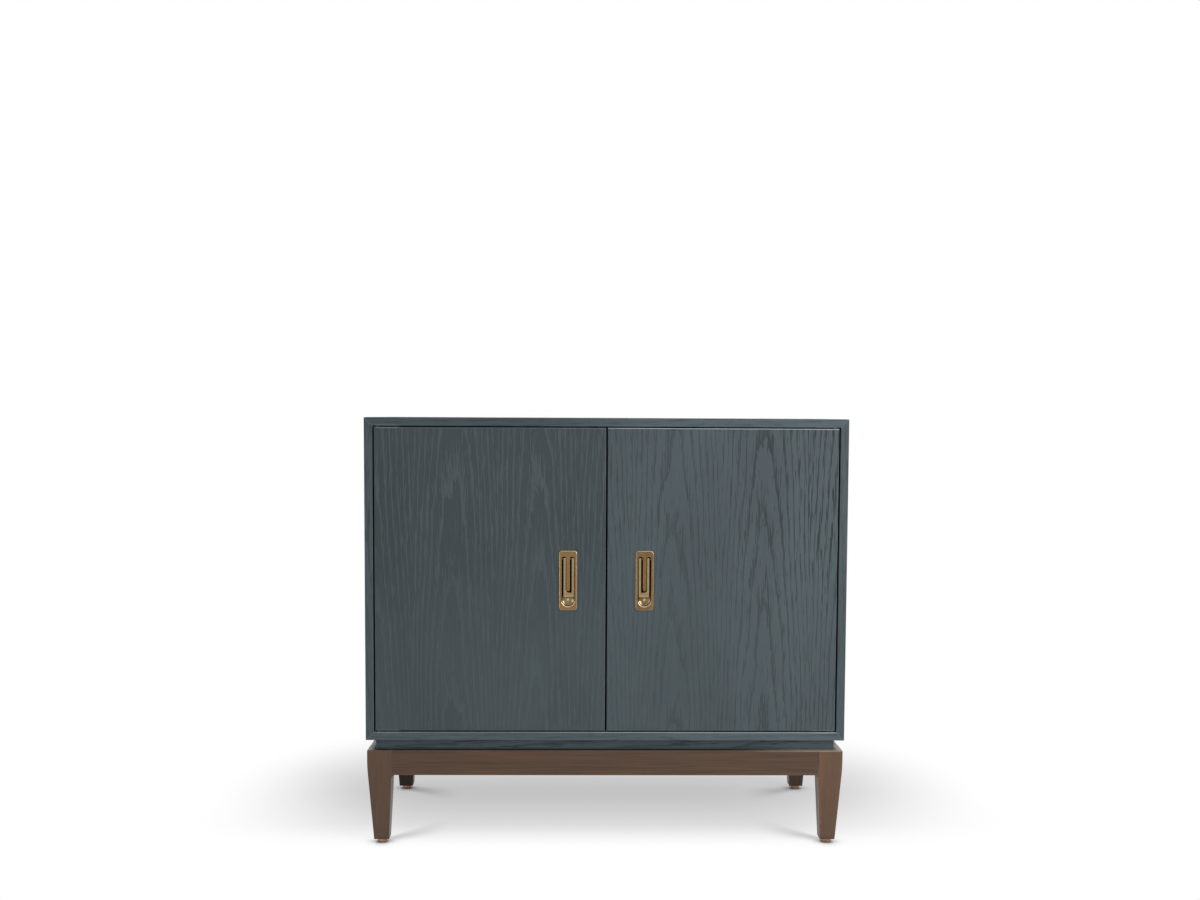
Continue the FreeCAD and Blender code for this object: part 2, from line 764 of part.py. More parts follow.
def base():
    for corner in CORNERS:
        leg(corner)
    apron("front_apron", "2 * (base_half)", "0", "base_front + apron_reveal", 0)
    apron("back_apron", "2 * (base_half)", "0", "base_back - apron_reveal", 180)
    middle = "(base_front + base_back) / 2"
    apron("left_apron", "base_depth", "-(base_half) + apron_reveal", middle, -90)
    apron("right_apron", "base_depth", "base_half - apron_reveal", middle, 90)
    group("corner_blocks", [corner_block(corner) for corner in CORNERS])
    group("glides", [glide(corner) for corner in CORNERS])
    group("base_bolts", [
        screw("base_bolt_%d" % i, (x, y, "base_top - block_height"), DOWNWARD, "bolt_head_radius",
              "bolt_head_height", "bolt_radius", "block_height + plinth_height + bolt_grip")
        for i, (x, y) in enumerate(bolt_places())])


# Doors on pivot hinges

def door(side, sign):
    body = new_body(side + "_door_panel")
    hinge = "%d * (door_edge)" % sign
    meeting = "%d * meeting_gap / 2" % sign
    ends = sorted((hinge, meeting), key=value)
    pad(body, rectangle(sketch_on(body, "XZ_Plane", "door_back"), *ends, "door_foot", "door_head"),
        "door_thickness")
    soften(body, "Fillet", "arris", lambda e: lies(e, y="case_front") or lies(e, y="door_back"))
    # bed for the pull and the way through for its screws
    bed = sketch_on(body, "XZ_Plane", "case_front")
    x = "%d * (pull_x)" % sign
    rectangle(bed, "%s - pan_width / 2 - fit" % x, "%s + pan_width / 2 + fit" % x,
              "pull_z - pan_height / 2 - fit", "pull_z + pan_height / 2 + fit")
    pocket(body, bed, "pan_depth + fit")
    ways = sketch_on(body, "XZ_Plane", "door_back")
    for z in pull_screw_levels():
        circle(ways, x, "pull_z + " + z, "pull_screw_radius + fit")
    pocket(body, ways, "door_thickness", away=True)
    let_in_leaves(body, "door_foot", [sign], away=True)
    let_in_leaves(body, "door_head", [sign], away=False)
    pilots = sketch_on(body, "XZ_Plane", "door_back")
    for x, z in strike_screw_places(sign):
        circle(pilots, x, z, "trim_screw_radius + fit")
    pocket(body, pilots, "trim_screw_length - strike_thickness + fit", away=True)


def hinges(side, sign):
    pivot = "%d * (pivot_x)" % sign
    case_leaves = [hinge_leaf(side + "_case_leaf_foot", sign, "inner_floor - leaf_thickness", True),
                   hinge_leaf(side + "_case_leaf_head", sign, "inner_roof", False)]
    door_leaves = [hinge_leaf(side + "_door_leaf_foot", sign, "door_foot", False),
                   hinge_leaf(side + "_door_leaf_head", sign, "door_head - leaf_thickness", True)]
    group(side + "_case_leaves", case_leaves)
    group(side + "_door_leaves", door_leaves)
    pins, washers = [], []
    for place, low in (("foot", "inner_floor"), ("head", "door_head")):
        pins.append(cylinder("%s_pivot_%s" % (side, place), "pivot_radius", "end_gap + 2 * leaf_thickness",
                             (pivot, "pivot_y", low + " - leaf_thickness")))
        spot = (pivot, "pivot_y", low + " + washer_play")
        ring = cylinder("%s_washer_%s_disc" % (side, place), "leaf_radius", "end_gap - 2 * washer_play", spot)
        bore = cylinder("%s_washer_%s_bore" % (side, place), "pivot_radius + running_fit", "end_gap", spot)
        washers.append(drilled("%s_washer_%s" % (side, place), ring, [bore]))
    group(side + "_pivot_pins", pins)
    group(side + "_pivot_washers", washers)
    for owner, places in (("case", (("inner_floor", UPWARD), ("inner_roof", DOWNWARD))),
                          ("door", (("door_foot", DOWNWARD), ("door_head", UPWARD)))):
        group("%s_%s_leaf_screws" % (side, owner), [
            flat_screw("%s_%s_leaf_screw_%d_%d" % (side, owner, i, j), (x, "pivot_y", z), turn)
            for i, (z, turn) in enumerate(places) for j, x in enumerate(leaf_screw_places(sign))])


# Flush pulls: a cast plate with a hanging bail over a finger dish

def pull_screw_levels():
    return ["pull_screw_centre + pull_screw_pitch / 2", "pull_screw_centre - pull_screw_pitch / 2"]


def pull_plate(side, sign):
    body = new_body(side + "_pull_plate")
    face = rectangle(sketch_on(body, "XZ_Plane", "0"), "-pull_width / 2", "pull_width / 2",
                     "-pull_height / 2", "pull_height / 2")
    pad(body, face, "pull_proud")
    pan = rectangle(sketch_on(body, "XZ_Plane", "0"), "-pan_width / 2", "pan_width / 2",
                    "-pan_height / 2", "pan_height / 2")
    pad(body, pan, "pan_depth", away=True)
    soften(body, "Fillet", "pull_corner", lambda e: any(
        lies(e, x="%d * pull_width / 2" % sx, z="%d * pull_height / 2" % sz)
        for sx in (-1, 1) for sz in (-1, 1)))
    soften(body, "Fillet", "pull_edge", lambda e: lies(e, y="-pull_proud"))
    # the channel runs down both sides of a fixed tongue and across below it
    channel = sketch_on(body, "XZ_Plane", "-pull_proud")
    wide, narrow = "channel_width / 2", "tongue_width / 2"
    tongue_end = "channel_top - tongue_length"
    outline(channel, [("-" + wide, "channel_top"), ("-" + narrow, "channel_top"),
                      ("-" + narrow, tongue_end), (narrow, tongue_end),
                      (narrow, "channel_top"), (wide, "channel_top"),
                      (wide, "scoop_z"), ("-" + wide, "scoop_z")])
    pocket(body, channel, "channel_depth")
    soften(body, "Fillet", "tongue_width / 2 - fit", lambda e: any(
        lies(e, x="%d * tongue_width / 2" % sx, z=tongue_end) for sx in (-1, 1)))
    soften(body, "Fillet", "arch_radius - fit", lambda e: any(
        lies(e, x="%d * %s" % (sx, half), z="channel_top") for sx in (-1, 1) for half in (wide, narrow)))
    scoop = circle(sketch_on(body, "XZ_Plane", "-pull_proud"), "0", "scoop_z", "scoop_radius")
    pocket(body, scoop, "channel_depth")
    soften(body, "Fillet", "channel_edge", lambda e: lies(e, x="tongue_width / 2", y="-pull_proud"))
    finger_dish(body)
    bore = circle(sketch_on(body, "YZ_Plane", "0"), "pin_y", "pin_z", "pin_radius + running_fit")
    pocket(body, bore, "pin_length + 2 * running_fit", centred=True)
    taps = sketch_on(body, "XZ_Plane", "pan_depth")
    for z in pull_screw_levels():
        circle(taps, "0", z, "pull_screw_radius + running_fit")
    pocket(body, taps, "pull_screw_grip + fit", away=True)
    to_pull(body, sign)


def finger_dish(body):
    # a ball-shaped hollow in the floor of the scoop, turned about the pull's depth
    ball = "(dish_radius * dish_radius + dish_drop * dish_drop) / (2 * dish_drop)"
    floor, level = value("floor_y"), value("scoop_z")
    centre = Vector(floor + value("dish_drop") - value(ball), level, 0)
    top = Vector(floor, level, 0)
    rim = Vector(floor, level - value("dish_radius"), 0)
    deepest = Vector(floor + value("dish_drop"), level, 0)
    half_way = centre + (deepest - centre + rim - centre).normalize() * value(ball)
    sketch = sketch_on(body, "YZ_Plane", "0")
    bowl, axis, lip = sketch.addGeometry([
        Part.Arc(rim, half_way, deepest), Part.LineSegment(deepest, top), Part.LineSegment(top, rim)], False)
    turned = sketch.Geometry[bowl].StartPoint.isEqual(deepest, CLOSE)
    near, far = (2, 1) if turned else (1, 2)
    for rule in (("Coincident", bowl, far, axis, 1), ("Coincident", axis, 2, lip, 1),
                 ("Coincident", lip, 2, bowl, near)):
        sketch.addConstraint(Sketcher.Constraint(*rule))
    pin_point(sketch, bowl, 3, "floor_y + dish_drop - " + ball, "scoop_z")
    pin_point(sketch, axis, 1, "floor_y + dish_drop", "scoop_z")
    pin_point(sketch, lip, 1, "floor_y", "scoop_z")
    across = sketch.addConstraint(Sketcher.Constraint("DistanceX", -1, 1, lip, 2, floor))
    sketch.setExpression("Constraints[%d]" % across, size("floor_y"))
    before = body.Shape.Volume
    groove = body.newObject("PartDesign::Groove", body.Name + "_dish")
    groove.Profile = sketch
    groove.ReferenceAxis = (sketch, ["Edge2"])
    groove.Angle = 360
    doc.recompute()
    if body.Shape.Volume > before - CLOSE:
        raise RuntimeError("the finger dish cuts nothing")


def pull_bail(side, sign):
    body = new_body(side + "_pull_bail")
    # the bail hangs a little to the meeting side of its channel
    shift = "%d * bail_shift" % -sign
    half = "(channel_width / 2 - bail_play)"
    outer = ["%s %s %s" % (shift, way, half) for way in "-+"]
    inner = ["%s + bail_leg" % outer[0], "%s - bail_leg" % outer[1]]
    top = "pin_z + bail_thickness / 2"
    low = "scoop_z + finger_gap"
    bar = low + " + bail_bar"
    front = sketch_on(body, "XZ_Plane", "-pull_proud")
    outline(front, [(outer[0], top), (outer[0], low), (outer[1], low), (outer[1], top),
                    (inner[1], top), (inner[1], bar), (inner[0], bar), (inner[0], top)])
    pad(body, front, "bail_thickness", away=True)
    soften(body, "Fillet", "bail_leg / 2 - running_fit",
           lambda e: any(lies(e, x=x, z=top) for x in outer + inner))
    soften(body, "Fillet", "bail_bend", lambda e: any(lies(e, x=x, z=bar) for x in inner))
    soften(body, "Fillet", "bail_edge", lambda e: lies(e, y="-pull_proud"))
    # a cove across the bar leaves a lip for the fingertip
    cove = circle(sketch_on(body, "YZ_Plane", "0"), "cove_depth - pull_proud - cove_radius",
                  low + " + cove_rise", "cove_radius")
    pocket(body, cove, "2 * channel_width", centred=True)
    eye = circle(sketch_on(body, "YZ_Plane", "0"), "pin_y", "pin_z", "pin_radius + running_fit")
    pocket(body, eye, "2 * channel_width", centred=True)
    to_pull(body, sign)


def to_pull(thing, sign, x="0", y="0", z="0", turn=UPWARD):
    return move(thing, "%d * (pull_x) + %s" % (sign, x), "case_front + " + y, "pull_z + " + z, turn)


def pulls(side, sign):
    pull_plate(side, sign)
    pull_bail(side, sign)
    pin = cylinder(side + "_pull_pin", "pin_radius", "pin_length", ("0", "0", "0"), SIDEWAYS)
    node(to_pull(pin, sign, "-pin_length / 2", "pin_y", "pin_z", SIDEWAYS), side + "_pull_pin")
    length = "door_thickness - pan_depth + pull_screw_grip"
    group(side + "_pull_screws", [
        to_pull(screw("%s_pull_screw_%d" % (side, i), ("0", "0", "0"), UPWARD, "pull_screw_head",
                      "pull_screw_head_height", "pull_screw_radius", length),
                sign, "0", "door_thickness", z, BACKWARD)
        for i, z in enumerate(pull_screw_levels())])


# Magnetic catches under the top, one per door

def catch_screw_places():
    reach = "catch_length / 2 - catch_ear / 2"
    return [("%d * catch_from_centre + %d * (%s)" % (sign, end, reach), "catch_front + catch_depth / 2")
            for sign in SIDES.values() for end in (-1, 1)]


def strike_screw_places(sign):
    # below the magnet's reach, so that the heads clear it
    reach = "strike_length / 2 - trim_screw_head - fit"
    level = "inner_roof - strike_drop - strike_height + trim_screw_head + fit"
    return [("%d * catch_from_centre + %d * (%s)" % (sign, end, reach), level) for end in (-1, 1)]


def catch(side, sign):
    body = new_body(side + "_catch")
    x = "%d * catch_from_centre" % sign
    ears = sketch_on(body, "XY_Plane", "inner_roof - catch_ear_height")
    rectangle(ears, x + " - catch_length / 2", x + " + catch_length / 2",
              "catch_front", "catch_front + catch_depth")
    for spot_x, spot_y in catch_screw_places():
        if value(spot_x) * sign > 0:
            circle(ears, spot_x, spot_y, "trim_screw_radius + fit")
    pad(body, ears, "catch_ear_height")
    hump = sketch_on(body, "XY_Plane", "inner_roof - catch_height")
    rectangle(hump, x + " - catch_length / 2 + catch_ear", x + " + catch_length / 2 - catch_ear",
              "catch_front", "catch_front + catch_depth")
    pad(body, hump, "catch_height")
    nest = sketch_on(body, "XZ_Plane", "catch_front")
    low = "inner_roof - catch_height + (catch_height - magnet_height) / 2"
    rectangle(nest, x + " - magnet_length / 2 - fit", x + " + magnet_length / 2 + fit",
              low + " - fit", low + " + magnet_height + fit")
    pocket(body, nest, "magnet_depth + fit")
    node(box(side + "_catch_magnet", (x + " - magnet_length / 2", "catch_front", low),
             (x + " + magnet_length / 2", "catch_front + magnet_depth", low + " + magnet_height")),
         side + "_catch_magnet")
    strike = new_body(side + "_strike")
    plate = sketch_on(strike, "XZ_Plane", "door_back + strike_thickness")
    rectangle(plate, x + " - strike_length / 2", x + " + strike_length / 2",
              "inner_roof - strike_drop - strike_height", "inner_roof - strike_drop")
    for spot_x, spot_z in strike_screw_places(sign):
        circle(plate, spot_x, spot_z, "trim_screw_radius + fit")
    pad(strike, plate, "strike_thickness")
    group(side + "_strike_screws", [
        screw("%s_strike_screw_%d" % (side, i), (spot_x, "door_back + strike_thickness", spot_z),
              BACKWARD, "trim_screw_head", "trim_screw_head_height", "trim_screw_radius", "trim_screw_length")
        for i, (spot_x, spot_z) in enumerate(strike_screw_places(sign))])


def catch_screws():
    group("catch_screws", [
        screw("catch_screw_%d" % i, (x, y, "inner_roof - catch_ear_height"), DOWNWARD, "trim_screw_head",
              "trim_screw_head_height", "trim_screw_radius", "trim_screw_length")
        for i, (x, y) in enumerate(catch_screw_places())])


case_top()
case_bottom()
back_panel()
shelf()
plinth()
base()
catch_screws()
for side, sign in SIDES.items():
    side_panel(side, sign)
    door(side, sign)
    hinges(side, sign)
    pulls(side, sign)
    catch(side, sign)
doc.recompute()

# Nothing is written unless every feature built and every solid is sound
faults = [o.Label for o in doc.Objects if {"Invalid", "Error"} & set(o.State)]
faults += [n.Label for n in nodes if n.Shape.isNull() or not n.Shape.isValid() or not n.Shape.Solids]
if faults:
    raise RuntimeError("failed: " + ", ".join(faults))
os.makedirs("parts", exist_ok=True)
for thing in nodes:
    thing.Shape.exportStep("parts/%s.step" % thing.Label)
print("%d nodes, %d solids" % (len(nodes), sum(len(n.Shape.Solids) for n in nodes)))
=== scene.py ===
import json
import math

import bmesh
import bpy
from mathutils import Matrix, Vector

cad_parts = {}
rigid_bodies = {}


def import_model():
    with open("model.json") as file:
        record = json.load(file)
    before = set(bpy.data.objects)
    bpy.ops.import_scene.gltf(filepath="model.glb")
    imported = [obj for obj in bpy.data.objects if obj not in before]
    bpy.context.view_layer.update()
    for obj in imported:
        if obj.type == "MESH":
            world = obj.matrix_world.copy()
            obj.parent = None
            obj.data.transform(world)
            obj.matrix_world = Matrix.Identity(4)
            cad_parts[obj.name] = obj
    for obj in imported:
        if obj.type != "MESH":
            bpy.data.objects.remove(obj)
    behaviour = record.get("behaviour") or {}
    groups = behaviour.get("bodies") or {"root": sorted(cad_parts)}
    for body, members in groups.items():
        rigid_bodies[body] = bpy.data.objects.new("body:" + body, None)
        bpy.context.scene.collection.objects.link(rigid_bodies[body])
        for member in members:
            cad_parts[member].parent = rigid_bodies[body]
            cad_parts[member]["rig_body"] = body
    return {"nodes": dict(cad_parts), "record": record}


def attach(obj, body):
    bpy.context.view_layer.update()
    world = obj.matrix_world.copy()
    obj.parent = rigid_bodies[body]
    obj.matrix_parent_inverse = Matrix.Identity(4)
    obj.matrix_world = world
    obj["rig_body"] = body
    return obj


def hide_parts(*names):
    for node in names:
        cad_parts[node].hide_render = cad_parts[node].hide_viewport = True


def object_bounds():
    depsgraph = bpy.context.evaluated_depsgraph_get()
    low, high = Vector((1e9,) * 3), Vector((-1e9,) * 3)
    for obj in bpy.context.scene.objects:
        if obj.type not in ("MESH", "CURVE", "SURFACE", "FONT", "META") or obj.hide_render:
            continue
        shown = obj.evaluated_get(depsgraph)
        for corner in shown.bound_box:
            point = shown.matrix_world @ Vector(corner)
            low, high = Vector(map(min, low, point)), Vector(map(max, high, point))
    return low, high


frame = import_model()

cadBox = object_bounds()
nodes = frame["nodes"]
print("frame loaded:", len(nodes), "nodes")

# camera: found from the case's corners, the gaps and the glides in the photo
photoCamera = {
    "place": (-0.0566, -2.9479, 0.8225),
    "pitch": 3.971, "yaw": 0.925, "roll": -0.274,   # degrees; pitch is downward
    "focal": 1443.95, "frameWidth": 1200,           # pixels
    "lift": 0.055,                                  # vertical lens shift
}


def makeCamera(view):
    pitch, yaw, roll = (math.radians(view[k]) for k in ("pitch", "yaw", "roll"))
    ahead = Vector((math.sin(yaw) * math.cos(pitch), math.cos(yaw) * math.cos(pitch), -math.sin(pitch)))
    level = Vector((math.cos(yaw), -math.sin(yaw), 0))
    down = ahead.cross(level)
    right = math.cos(roll) * level + math.sin(roll) * down
    under = math.cos(roll) * down - math.sin(roll) * level
    camera = bpy.data.cameras.new("camera")
    camera.sensor_width = 36
    camera.lens = camera.sensor_width * view["focal"] / view["frameWidth"]
    camera.shift_y = view["lift"]
    holder = bpy.data.objects.new("camera", camera)
    turn = Matrix((right, -under, -ahead)).transposed()
    holder.matrix_world = Matrix.Translation(view["place"]) @ turn.to_4x4()
    bpy.context.collection.objects.link(holder)
    bpy.context.scene.camera = holder


makeCamera(photoCamera)
print("camera placed")

# helpers for node trees

def put(tree, kind, inputs=None, **settings):
    made = tree.nodes.new("ShaderNode" + kind)
    for name, amount in settings.items():
        setattr(made, name, amount)
    for name, amount in (inputs or {}).items():
        if isinstance(amount, bpy.types.NodeSocket):
            tree.links.new(amount, made.inputs[name])
        else:
            made.inputs[name].default_value = amount
    return made


def calc(tree, operation, *terms):
    return put(tree, "Math", dict(enumerate(terms)), operation=operation).outputs[0]


def times(tree, first, *others):
    for other in others:
        first = calc(tree, "MULTIPLY", first, other)
    return first


def distance(tree, first, second):
    return calc(tree, "SQRT", calc(tree, "ADD", times(tree, first, first), times(tree, second, second)))


def remap(tree, amount, low, high, start=0.0, end=1.0):
    inputs = {"Value": amount, "From Min": low, "From Max": high, "To Min": start, "To Max": end}
    return put(tree, "MapRange", inputs, interpolation_type="SMOOTHSTEP").outputs[0]


def tint(tree, share, first, second):
    made = put(tree, "Mix", data_type="RGBA")
    for index, amount in ((0, share), (6, first), (7, second)):
        if isinstance(amount, bpy.types.NodeSocket):
            tree.links.new(amount, made.inputs[index])
        else:
            made.inputs[index].default_value = amount
    return made.outputs[2]


def speckle(tree, vector, detail=2.0, rough=0.5, scale=1.0):
    inputs = {"Vector": vector, "Scale": scale, "Detail": detail, "Roughness": rough}
    return put(tree, "TexNoise", inputs).outputs[0]


def grainNoise(tree, across, along, seed, scales, detail=2.0, rough=0.5):
    spot = {0: times(tree, across, scales[0]), 1: times(tree, along, scales[1]), 2: seed + scales[2]}
    return speckle(tree, put(tree, "CombineXYZ", spot).outputs[0], detail, rough)


def wander(tree, base, noise, amount):
    # moves base by up to half the amount either way
    return calc(tree, "MULTIPLY_ADD", calc(tree, "SUBTRACT", noise, 0.5), amount, base)


def shade(red, green, blue):
    # screen colour, 0 to 255, as the shader wants it
    def straight(c):
        c /= 255
        return c / 12.92 if c <= 0.04045 else ((c + 0.055) / 1.055) ** 2.4
    return (straight(red), straight(green), straight(blue), 1)


def newFinish(name, settings):
    finish = bpy.data.materials.new(name)
    finish.use_nodes = True
    shader = finish.node_tree.nodes["Principled BSDF"]
    for socket, amount in settings.items():
        shader.inputs[socket].default_value = amount
    return finish, finish.node_tree, shader


def join(tree, shader, **sources):
    names = {"colour": "Base Color", "rough": "Roughness", "normal": "Normal"}
    for name, source in sources.items():
        tree.links.new(source, shader.inputs[names[name]])


def relief(tree, height, strength, depth):
    inputs = {"Height": height, "Strength": strength, "Distance": depth}
    return put(tree, "Bump", inputs).outputs[0]


def edgeGlow(tree, reach, full=0.42, none=0.9):
    # 1 along a piece's own outer edges, 0 on its flats
    wearAndHighlight = put(tree, "AmbientOcclusion", {"Distance": reach}, inside=True, only_local=True, samples=8)
    return remap(tree, wearAndHighlight.outputs["AO"], full, none, 1.0, 0.0)


def openness(tree, reach):
    # 1 in the open, less in corners, gaps and hollows
    return put(tree, "AmbientOcclusion", {"Distance": reach}, samples=8).outputs["AO"]


def spotOn(tree):
    # a point's place in the part's own frame, metres
    return put(tree, "TexCoord").outputs["Object"]


def placeOn(tree):
    return put(tree, "SeparateXYZ", {0: spotOn(tree)}).outputs


def grainAxes(tree, across, lean, along):
    place = placeOn(tree)
    return calc(tree, "MULTIPLY_ADD", place[lean], 0.7, place[across]), place[along]


def upward(tree):
    # 1 where the surface looks up, 0 where it is upright or looks down
    facing = put(tree, "SeparateXYZ", {0: put(tree, "NewGeometry").outputs["Normal"]}).outputs["Z"]
    return remap(tree, facing, 0.1, 0.75)


def levels(name, axis):
    # a node's lowest and highest place along one axis
    spots = [corner[axis] for corner in nodes[name].bound_box]
    return min(spots), max(spots)


# painted open-grained veneer

slatePaint = {
    "ground": shade(72, 82, 86), "pale": shade(78, 89, 93),
    "darkPore": shade(20, 24, 26), "palePore": shade(112, 127, 127),
    "edge": shade(200, 210, 216), "seam": shade(24, 28, 30),
    "ring": 0.0064,                                  # spacing of the growth rings, metres
    "leafDepth": 0.0704, "leafRise": 0.034,          # how deep the leaf lies in the log, metres, and its slope
    "sway": 0.018, "drift": 0.009, "step": 0.0036,   # how far the rings wander, metres
    "noises": {   # specks per metre across and along the grain, and what is added to the seed
        "broad": (5, 2, 0), "fine": (330, 42, 3.1), "drift": (40, 5, 7.7), "pores": (640, 26, 1.3),
        "patch": (11, 3.5, 6.4), "streak": (260, 4, 5.9), "cloud": (9, 3, 9.3),
    },
    "filledTo": 0.36, "openFrom": 0.66,              # heights over which the painted sheen that dulls the grain fades out
    "filledLines": 0.6,                              # strength of the lines where the painted sheen is strongest
    "uprightSpan": (0.3, 0.7), "levelSpan": (-0.35, 0.35),   # where the painted light and shade at both ends is reached, metres
    "seamReach": 0.0035, "edgeReach": 0.0022,        # painted shade in gaps, and wear and painted highlight along edges, metres
    "gapShade": 0.85, "mitreShade": 0.8,             # how dark the painted shade in gaps, and the mitre joints, become
    "wear": (0.3, 0.16),                             # of edges: painted highlight where they look up, and wear everywhere
    "glintDepth": (0.0018, 0.0026),                  # how much of the front arris catches the light, metres
    "glintSide": (-0.3, 0.1),                        # where the glint grows from half to full, metres
    "mitreWidth": (0.0003, 0.0008), "poreDepth": 0.0004,
}
caseCorners = {
    "halfWidth": cadBox[1][0], "crown": cadBox[1][2],
    "foot": levels("case_bottom", 2)[0], "front": levels("case_bottom", 1)[0],
    "plinthHalf": levels("plinth_front", 0)[1],
}


def caseSeams(tree):
    # hairlines where the four boards of the case meet in mitres
    place = placeOn(tree)
    inward = calc(tree, "SUBTRACT", caseCorners["halfWidth"], calc(tree, "ABSOLUTE", place["X"]))
    below = calc(tree, "SUBTRACT", caseCorners["crown"], place["Z"])
    above = calc(tree, "SUBTRACT", place["Z"], caseCorners["foot"])
    away = calc(tree, "ABSOLUTE", calc(tree, "SUBTRACT", inward, calc(tree, "MINIMUM", below, above)))
    return remap(tree, away, *slatePaint["mitreWidth"], 1.0, 0.0)


def veneerGrain(tree, plainAcross, along, leaf, hold, seed):
    # growth rings cut by the flat leaf: arches up its middle, straight lines at its edges
    look, noises = slatePaint, slatePaint["noises"]
    broad = grainNoise(tree, plainAcross, along, seed, noises["broad"])
    fine = grainNoise(tree, plainAcross, along, seed, noises["fine"], 3, 0.6)
    across = wander(tree, plainAcross, broad, look["sway"])
    fold = calc(tree, "PINGPONG", calc(tree, "SUBTRACT", across, leaf[0]), leaf[1])
    rise = calc(tree, "SUBTRACT", along, hold)
    depth = calc(tree, "MULTIPLY_ADD", rise, look["leafRise"], look["leafDepth"])
    depth = wander(tree, depth, grainNoise(tree, across, along, seed, noises["drift"]), look["drift"])
    jagged = remap(tree, fold, 0.0, leaf[1] * 0.7, look["step"], look["step"] * 0.3)
    ringAt = wander(tree, distance(tree, fold, depth), fine, jagged)
    turns = calc(tree, "DIVIDE", ringAt, look["ring"])
    ring = calc(tree, "FRACT", turns)
    # each ring starts sharply and is bold or faint by itself, most near the heart
    number = calc(tree, "ADD", calc(tree, "FLOOR", turns), seed)
    draw = put(tree, "TexWhiteNoise", {"W": number}, noise_dimensions="1D").outputs["Value"]
    bold = times(tree, remap(tree, draw, 0.0, 1.0, 0.66, 1.0), remap(tree, fold, 0.015, 0.065, 1.0, 0.62))
    begin = remap(tree, ring, 0.0, 0.05)
    dash = grainNoise(tree, across, along, seed, noises["pores"], 1)
    core = times(tree, begin, remap(tree, ring, 0.09, 0.3, 1.0, 0.0), remap(tree, dash, 0.36, 0.54, 0.72, 1.0))
    # its early wood fades outward in specks
    early = times(tree, begin, remap(tree, ring, 0.08, 0.7, 1.0, 0.0))
    specks = remap(tree, calc(tree, "MULTIPLY_ADD", early, 0.2, dash), 0.63, 0.72, 0.0, 0.8)
    patch = grainNoise(tree, across, along, seed, noises["patch"])
    pores = times(tree, calc(tree, "MAXIMUM", times(tree, core, bold), specks),
                  remap(tree, patch, 0.36, 0.62, 0.82, 1.0))
    return across, pores


def slateVeneer(name, axes, leaf, hold, grain, lightAndShade, seed, glint=0.0, gloss=0.24, litPoreSide=None,
                faintSide=None, seams=False):
    look = slatePaint
    finish, tree, shader = newFinish(name, {"Roughness": 0.45, "Specular IOR Level": gloss})
    plainAcross, along = grainAxes(tree, *axes)
    across, pores = veneerGrain(tree, plainAcross, along, leaf, hold, seed)
    streak = grainNoise(tree, across, along, seed, look["noises"]["streak"])
    cloud = grainNoise(tree, across, along, seed, look["noises"]["cloud"])
    tone = calc(tree, "ADD", times(tree, streak, 0.3), times(tree, cloud, 0.7))
    colour = tint(tree, remap(tree, tone, 0.35, 0.65), look["ground"], look["pale"])
    upright = axes[2] == "Z"
    span = look["uprightSpan"] if upright else look["levelSpan"]
    # painted light and shade: each board lighter or darker, graded along it as the light falls
    colour = put(tree, "VectorMath", {0: colour, "Scale": remap(tree, along, *span, *lightAndShade)},
                 operation="SCALE").outputs[0]
    pore = look["darkPore"]
    if litPoreSide:
        # painted highlight in the pores, giving way to dark pores towards one lower corner
        bare = times(tree, remap(tree, plainAcross, *litPoreSide["across"]),
                     remap(tree, along, *litPoreSide["along"]))
        pore = tint(tree, bare, look["palePore"], look["darkPore"])
    lines = pores
    # painted sheen: the grain fainter low on upright boards
    if upright:
        underSheen = remap(tree, along, look["filledTo"], look["openFrom"], look["filledLines"], 1.0)
        lines = times(tree, lines, underSheen)
    if faintSide:
        lines = times(tree, lines, remap(tree, plainAcross, *faintSide))
    colour = tint(tree, times(tree, lines, grain), colour, pore)
    # painted shade: darker in gaps, corners and round the pulls' plates, where shade falls
    gap = remap(tree, openness(tree, look["seamReach"]), 0.45, 0.92, look["gapShade"], 0.0)
    colour = tint(tree, gap, colour, look["seam"])
    if seams:
        colour = tint(tree, times(tree, caseSeams(tree), look["mitreShade"]), colour, look["seam"])
    # edges lighter: wear everywhere, and a painted highlight where they look up
    wear = calc(tree, "MULTIPLY_ADD", upward(tree), *look["wear"])
    wearAndHighlight = times(tree, edgeGlow(tree, look["edgeReach"]), wear)
    if glint:
        # the front arris catches the light where it looks up, most on the right
        place = placeOn(tree)
        depths = (caseCorners["front"] + depth for depth in look["glintDepth"])
        share = remap(tree, place["X"], *look["glintSide"], glint * 0.5, glint)
        arris = times(tree, remap(tree, place["Y"], *depths, 1.0, 0.0), upward(tree), share)
        wearAndHighlight = calc(tree, "MAXIMUM", wearAndHighlight, arris)
    colour = tint(tree, wearAndHighlight, colour, look["edge"])
    height = calc(tree, "SUBTRACT", times(tree, streak, 0.15), pores)
    join(tree, shader, colour=colour, rough=remap(tree, pores, 0, 1, 0.43, 0.62),
         normal=relief(tree, height, 0.18, look["poreDepth"]))
    return finish


